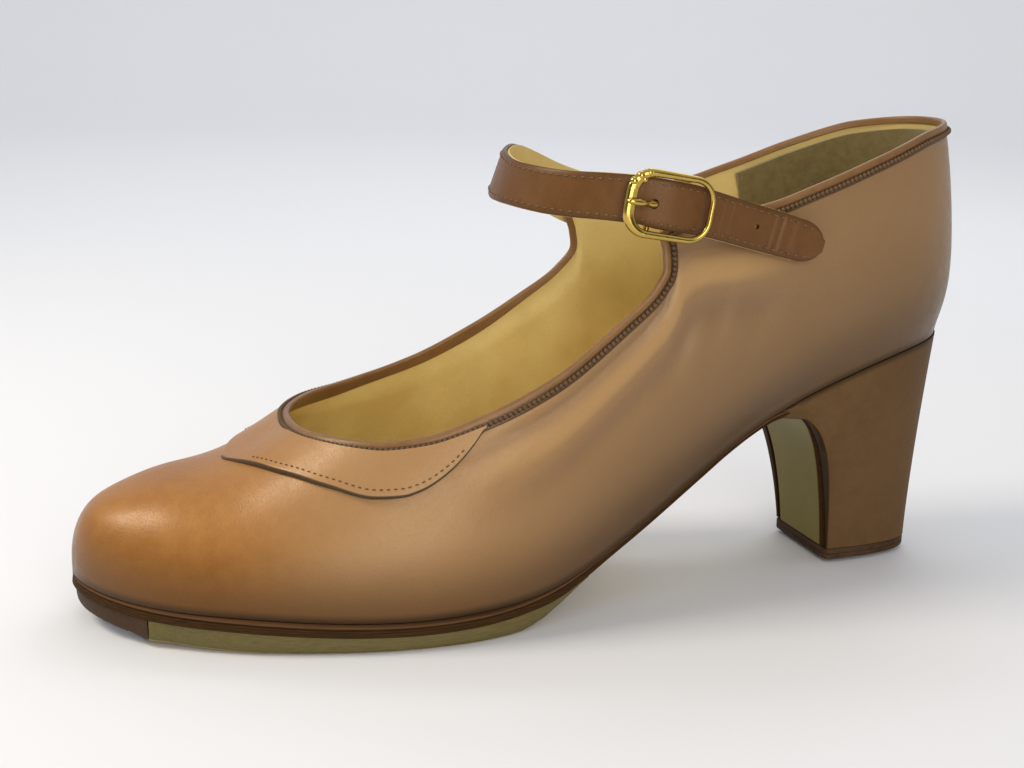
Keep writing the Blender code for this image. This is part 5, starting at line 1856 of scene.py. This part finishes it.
# The leather loop: reach before and behind the buckle's middle, then its cross section, out and up.
LOOP_REACH = (-2.0, 17.0)
LOOP_SECTION = (
    (0.5, 3.7), (0.2, 4.0), (-0.2, 4.0), (-0.5, 3.7), (-0.5, -3.7), (-0.2, -4.0), (0.2, -4.0), (0.5, -3.7),
)
# Beads cast on two corners of the buckle: place along and across in the frame, and radius.
BUCKLE_BEADS = (
    (9.7, 4.3, 1.0), (8.3, 5.7, 1.05), (6.5, 6.6, 1.0), (7.4, 5.0, 0.9), (5.0, 6.5, 0.75), (9.2, 2.9, 0.75),
    (9.1, 1.7, 0.55), (-6.8, -6.2, 0.6), (-8.5, -4.9, 0.55),
)


class SHOE_OT_buckle(bpy.types.Operator):
    """Cast the buckle with its beads, prong and bar, and fold its leather loop"""
    bl_idname = "shoe.buckle"
    bl_label = "Buckle"

    def execute(self, context):
        centre, along, away, across = buckle_frame()
        pivot = centre + along * BUCKLE_PIVOT
        lift = STRAP_HALF + GAP + BUCKLE_WIRE + BUCKLE_LIFT
        ring, wide = [], []
        for sx, sy, first in ((1, 1, 0), (-1, 1, 90), (-1, -1, 180), (1, -1, 270)):
            for turn in np.radians(np.linspace(first, first + 90.0, 13)):
                a = sx * (BUCKLE_HALF_LONG - BUCKLE_CORNER) + BUCKLE_CORNER * math.cos(turn)
                b = sy * (BUCKLE_HALF_HIGH - BUCKLE_CORNER) + BUCKLE_CORNER * math.sin(turn)
                high = lift - BUCKLE_BOW * (a / BUCKLE_HALF_LONG) ** 2
                ring.append(centre + along * a + across * b + away * high)
                wide.append(by_station(BUCKLE_WIDE, a))
        brass = plated_brass(tuple(settings().metal.brass))
        points = [wire_rings(ring, away, wide, BUCKLE_HIGH, True)]
        faces = sweep_faces(len(ring), WIRE_SIDES, True)
        drop = -STRAP_HALF - GAP - BUCKLE_BAR - CLEAR
        side = ((BUCKLE_HALF_HIGH, lift), (BUCKLE_HALF_HIGH, drop + 0.7), (BUCKLE_HALF_HIGH - 0.7, drop))
        bar = [pivot + across * b + away * d for b, d in side + tuple((-b, d) for b, d in reversed(side))]
        points.append(wire_rings(bar, along, BUCKLE_BAR, BUCKLE_BAR))
        faces += sweep_faces(len(bar), WIRE_SIDES, False, points[0].size // 3)
        turn = np.linspace(0.06, math.pi - 0.06, 11)
        for a, b, radius in BUCKLE_BEADS:
            start = sum(p.size // 3 for p in points)
            middle = centre + along * a + across * b + away * (lift - BEAD_SINK)
            line = middle - away[None] * (radius * np.cos(turn))[:, None]
            points.append(wire_rings(line, along, radius * np.sin(turn), radius * np.sin(turn)))
            faces += sweep_faces(len(turn), WIRE_SIDES, False, start)
        points = np.concatenate([p.reshape(-1, 3) for p in points])
        item = add_piece("buckle_casting", points, faces, brass, 50.0)
        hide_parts("buckle_frame")
        over = lift + BUCKLE_HIGH + CLEAR + PRONG_WIRE
        skim = STRAP_HALF + GAP + PRONG_WIRE + CLEAR
        reach = BUCKLE_HALF_LONG - BUCKLE_PIVOT
        knots = ((0.0, drop + 1.1), (0.0, skim - 1.2), (0.5, skim), (2.0, skim + 0.4), (4.2, over - 0.4),
                 (reach - 0.6, over), (reach + 0.6, over), (reach + 1.3, over - 0.3))
        line = np.array([pivot + along * a + away * d for a, d in knots])
        run = run_along(line)
        fine = np.linspace(0.0, run[-1], 48)
        thick = PRONG_WIRE * np.interp(fine / run[-1], *np.array(PRONG_TAPER).T)
        rings = wire_rings(natural(run, line)(fine), across, thick, thick)
        item = sweep("buckle_tongue", rings, brass)
        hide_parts("buckle_prong")
        self.fold_loop(centre)
        return {"FINISHED"}

    def fold_loop(self, centre):
        """Leather loop between the quarter and the strap, behind the buckle's bar."""
        inner = centre[1] - STRAP_HALF - 2.0 * GAP - 2.0 * BUCKLE_BAR - 0.7
        section = rounded(LOOP_SECTION, 3)
        rings = []
        for back in np.linspace(*LOOP_REACH, 30):
            x, z = centre[0] - back, centre[2] - 0.6 - 0.2 * back
            ease = math.sqrt(max(1.0 - abs((back - 7.5) / 9.6) ** 8, 0.1))
            rings.append([(x, inner + n, z + u * ease) for n, u in section])
        item = sweep("buckle_loop", rings, strap_loop_leather(settings().leathers))
        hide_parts("buckle_tab")


def strap_loop_leather(tones):
    """Leather of the buckle's loop."""
    return leather("tan_loop_leather", tuple(tones.strap), darker(tones.strap, 0.75))


# Stage

def area_light(name, place, aim, power, wide, tone):
    """Soft square light that looks at a point."""
    lamp = bpy.data.lights.new(name, "AREA")
    lamp.energy = power
    lamp.size = wide
    lamp.color = tone
    item = bpy.data.objects.new(name, lamp)
    bpy.context.scene.collection.objects.link(item)
    item.location = place
    item.rotation_euler = (Vector(aim) - Vector(place)).to_track_quat("-Z", "Y").to_euler()
    item.visible_camera = False
    return item


# Lights: name, setting with its power, place, aim, width and tone.
LIGHTS = (
    ("key_light", "key", (0.58, -0.08, 0.62), (0.03, 0.0, 0.03), 0.26, (1.0, 0.9, 0.76)),
    ("fill_light", "fill", (0.06, 0.92, 0.3), (0.0, 0.0, 0.05), 0.6, (1.0, 0.94, 0.84)),
    ("rim_light", "rim", (-0.45, -0.5, 0.7), (0.0, 0.0, 0.05), 0.5, (1.0, 1.0, 1.0)),
    ("wall_light", "wall", (-0.3, -0.9, 1.5), (-0.5, -2.0, 0.3), 1.0, (1.0, 1.0, 1.0)),
)
# The floor in metres: radius of its flat middle, radius of its sweep, height of its wall and its sides.
FLOOR_FLAT = 1.6
FLOOR_SWEEP = 0.8
FLOOR_HEIGHT = 1.6
FLOOR_SIDES = 64
# Millimetres towards the camera between which the floor darkens.
FLOOR_SHADE = (700.0, 1700.0)


class SHOE_OT_stage(bpy.types.Operator):
    """Lay the pale floor, set the soft lights and the camera"""
    bl_idname = "shoe.stage"
    bl_label = "Stage"

    def execute(self, context):
        look = settings().stage
        self.lay_floor(tuple(look.floor))
        scene = context.scene
        scene.view_settings.view_transform = "Standard"
        world = bpy.data.worlds.new("even_sky")
        world.use_nodes = True
        sky = world.node_tree.nodes["Background"]
        sky.inputs["Color"].default_value = (1.0, 1.0, 1.0, 1.0)
        sky.inputs["Strength"].default_value = look.sky
        scene.world = world
        for name, key, place, aim, wide, tone in LIGHTS:
            area_light(name, place, aim, getattr(look, key), wide, tone)
        self.aim_camera(scene)
        return {"FINISHED"}

    def lay_floor(self, tone):
        """Round floor that sweeps up into a wall far from the shoe."""
        profile = [(0.5 * FLOOR_FLAT, 0.0), (FLOOR_FLAT, 0.0)]
        for turn in np.linspace(0.2, 1.57, 8):
            profile.append((FLOOR_FLAT + FLOOR_SWEEP * math.sin(turn), FLOOR_SWEEP * (1.0 - math.cos(turn))))
        profile.append((FLOOR_FLAT + FLOOR_SWEEP, FLOOR_HEIGHT))
        points = []
        for radius, z in profile:
            for turn in np.linspace(0.0, 2.0 * math.pi, FLOOR_SIDES, endpoint=False):
                points.append((radius * math.cos(turn), radius * math.sin(turn), z))
        faces = [tuple(range(FLOOR_SIDES))]
        for i in range(len(profile) - 1):
            a, b = i * FLOOR_SIDES, (i + 1) * FLOOR_SIDES
            for k in range(FLOOR_SIDES):
                after = (k + 1) % FLOOR_SIDES
                faces.append((a + k, b + k, b + after, a + after))
        mesh = bpy.data.meshes.new("floor")
        mesh.from_pydata(points, [], faces)
        mesh.shade_smooth()
        paper = Finish("pale_floor")
        mist = paper.noise(120.0, 2.0)
        body = paper.mix(mist * 0.3, tone, darker(tone, 0.97))
        shade = paper.along("Y").between(*FLOOR_SHADE)
        body = paper.mix(shade, body, darker(tone, 0.3))
        mesh.materials.append(paper.surface(Base_Color=body, Roughness=0.85))
        floor = bpy.data.objects.new("floor", mesh)
        bpy.context.scene.collection.objects.link(floor)

    def aim_camera(self, scene):
        """Camera at the photograph's place, turned to frame the shoe."""
        lens = bpy.data.cameras.new("photo_camera")
        lens.sensor_width = CAMERA_SENSOR
        lens.lens = CAMERA_LENS
        lens.clip_start = 0.01
        item = bpy.data.objects.new("photo_camera", lens)
        scene.collection.objects.link(item)
        place, aim = (Vector(place_in_frame(p)[0]) for p in (CAMERA_PLACE, CAMERA_AIM))
        roll = Matrix.Rotation(math.radians(CAMERA_ROLL), 4, "Z")
        turn = (aim - place).to_track_quat("-Z", "Y").to_matrix().to_4x4()
        item.matrix_world = Matrix.Translation(place) @ turn @ roll
        scene.camera = item


PIECES = (
    SHOE_OT_upper,
    SHOE_OT_lining,
    SHOE_OT_binding,
    SHOE_OT_overlay,
    SHOE_OT_seam,
    SHOE_OT_insole,
    SHOE_OT_outsole,
    SHOE_OT_half_sole,
    SHOE_OT_heel,
    SHOE_OT_nails,
    SHOE_OT_strap,
    SHOE_OT_buckle,
    SHOE_OT_stage,
)


class SHOE_PT_pieces(bpy.types.Panel):
    """Lists the pieces of the shoe and its settings"""
    bl_label = "Flamenco Shoe"
    bl_idname = "SHOE_PT_pieces"
    bl_space_type = "VIEW_3D"
    bl_region_type = "UI"
    bl_category = "Shoe"

    def draw(self, context):
        for group in ("leathers", "sewing", "metal", "stage"):
            box = self.layout.box()
            box.label(text=group.capitalize())
            values = getattr(context.scene.flamenco_shoe, group)
            for key in values.__annotations__:
                box.prop(values, key)
        for piece in PIECES:
            self.layout.operator(piece.bl_idname)


CLASSES = (ShoeLeathers, ShoeSewing, ShoeMetal, ShoeStage, ShoeSettings, *PIECES, SHOE_PT_pieces)


def register():
    """Make the settings, operators and panel known to Blender."""
    for item in CLASSES:
        bpy.utils.register_class(item)
    bpy.types.Scene.flamenco_shoe = bpy.props.PointerProperty(type=ShoeSettings)


def unregister():
    """Take them out again."""
    del bpy.types.Scene.flamenco_shoe
    for item in reversed(CLASSES):
        bpy.utils.unregister_class(item)


def clear_start_objects():
    """Remove what an empty file starts with, and keep the frame."""
    for name in ("Cube", "Light", "Camera"):
        if name in bpy.data.objects:
            bpy.data.objects.remove(bpy.data.objects[name])


def main():
    """Build every piece in order."""
    register()
    clear_start_objects()
    for piece in PIECES:
        group, name = piece.bl_idname.split(".")
        getattr(getattr(bpy.ops, group), name)()
    bpy.context.view_layer.update()


if __name__ == "__main__":
    main()
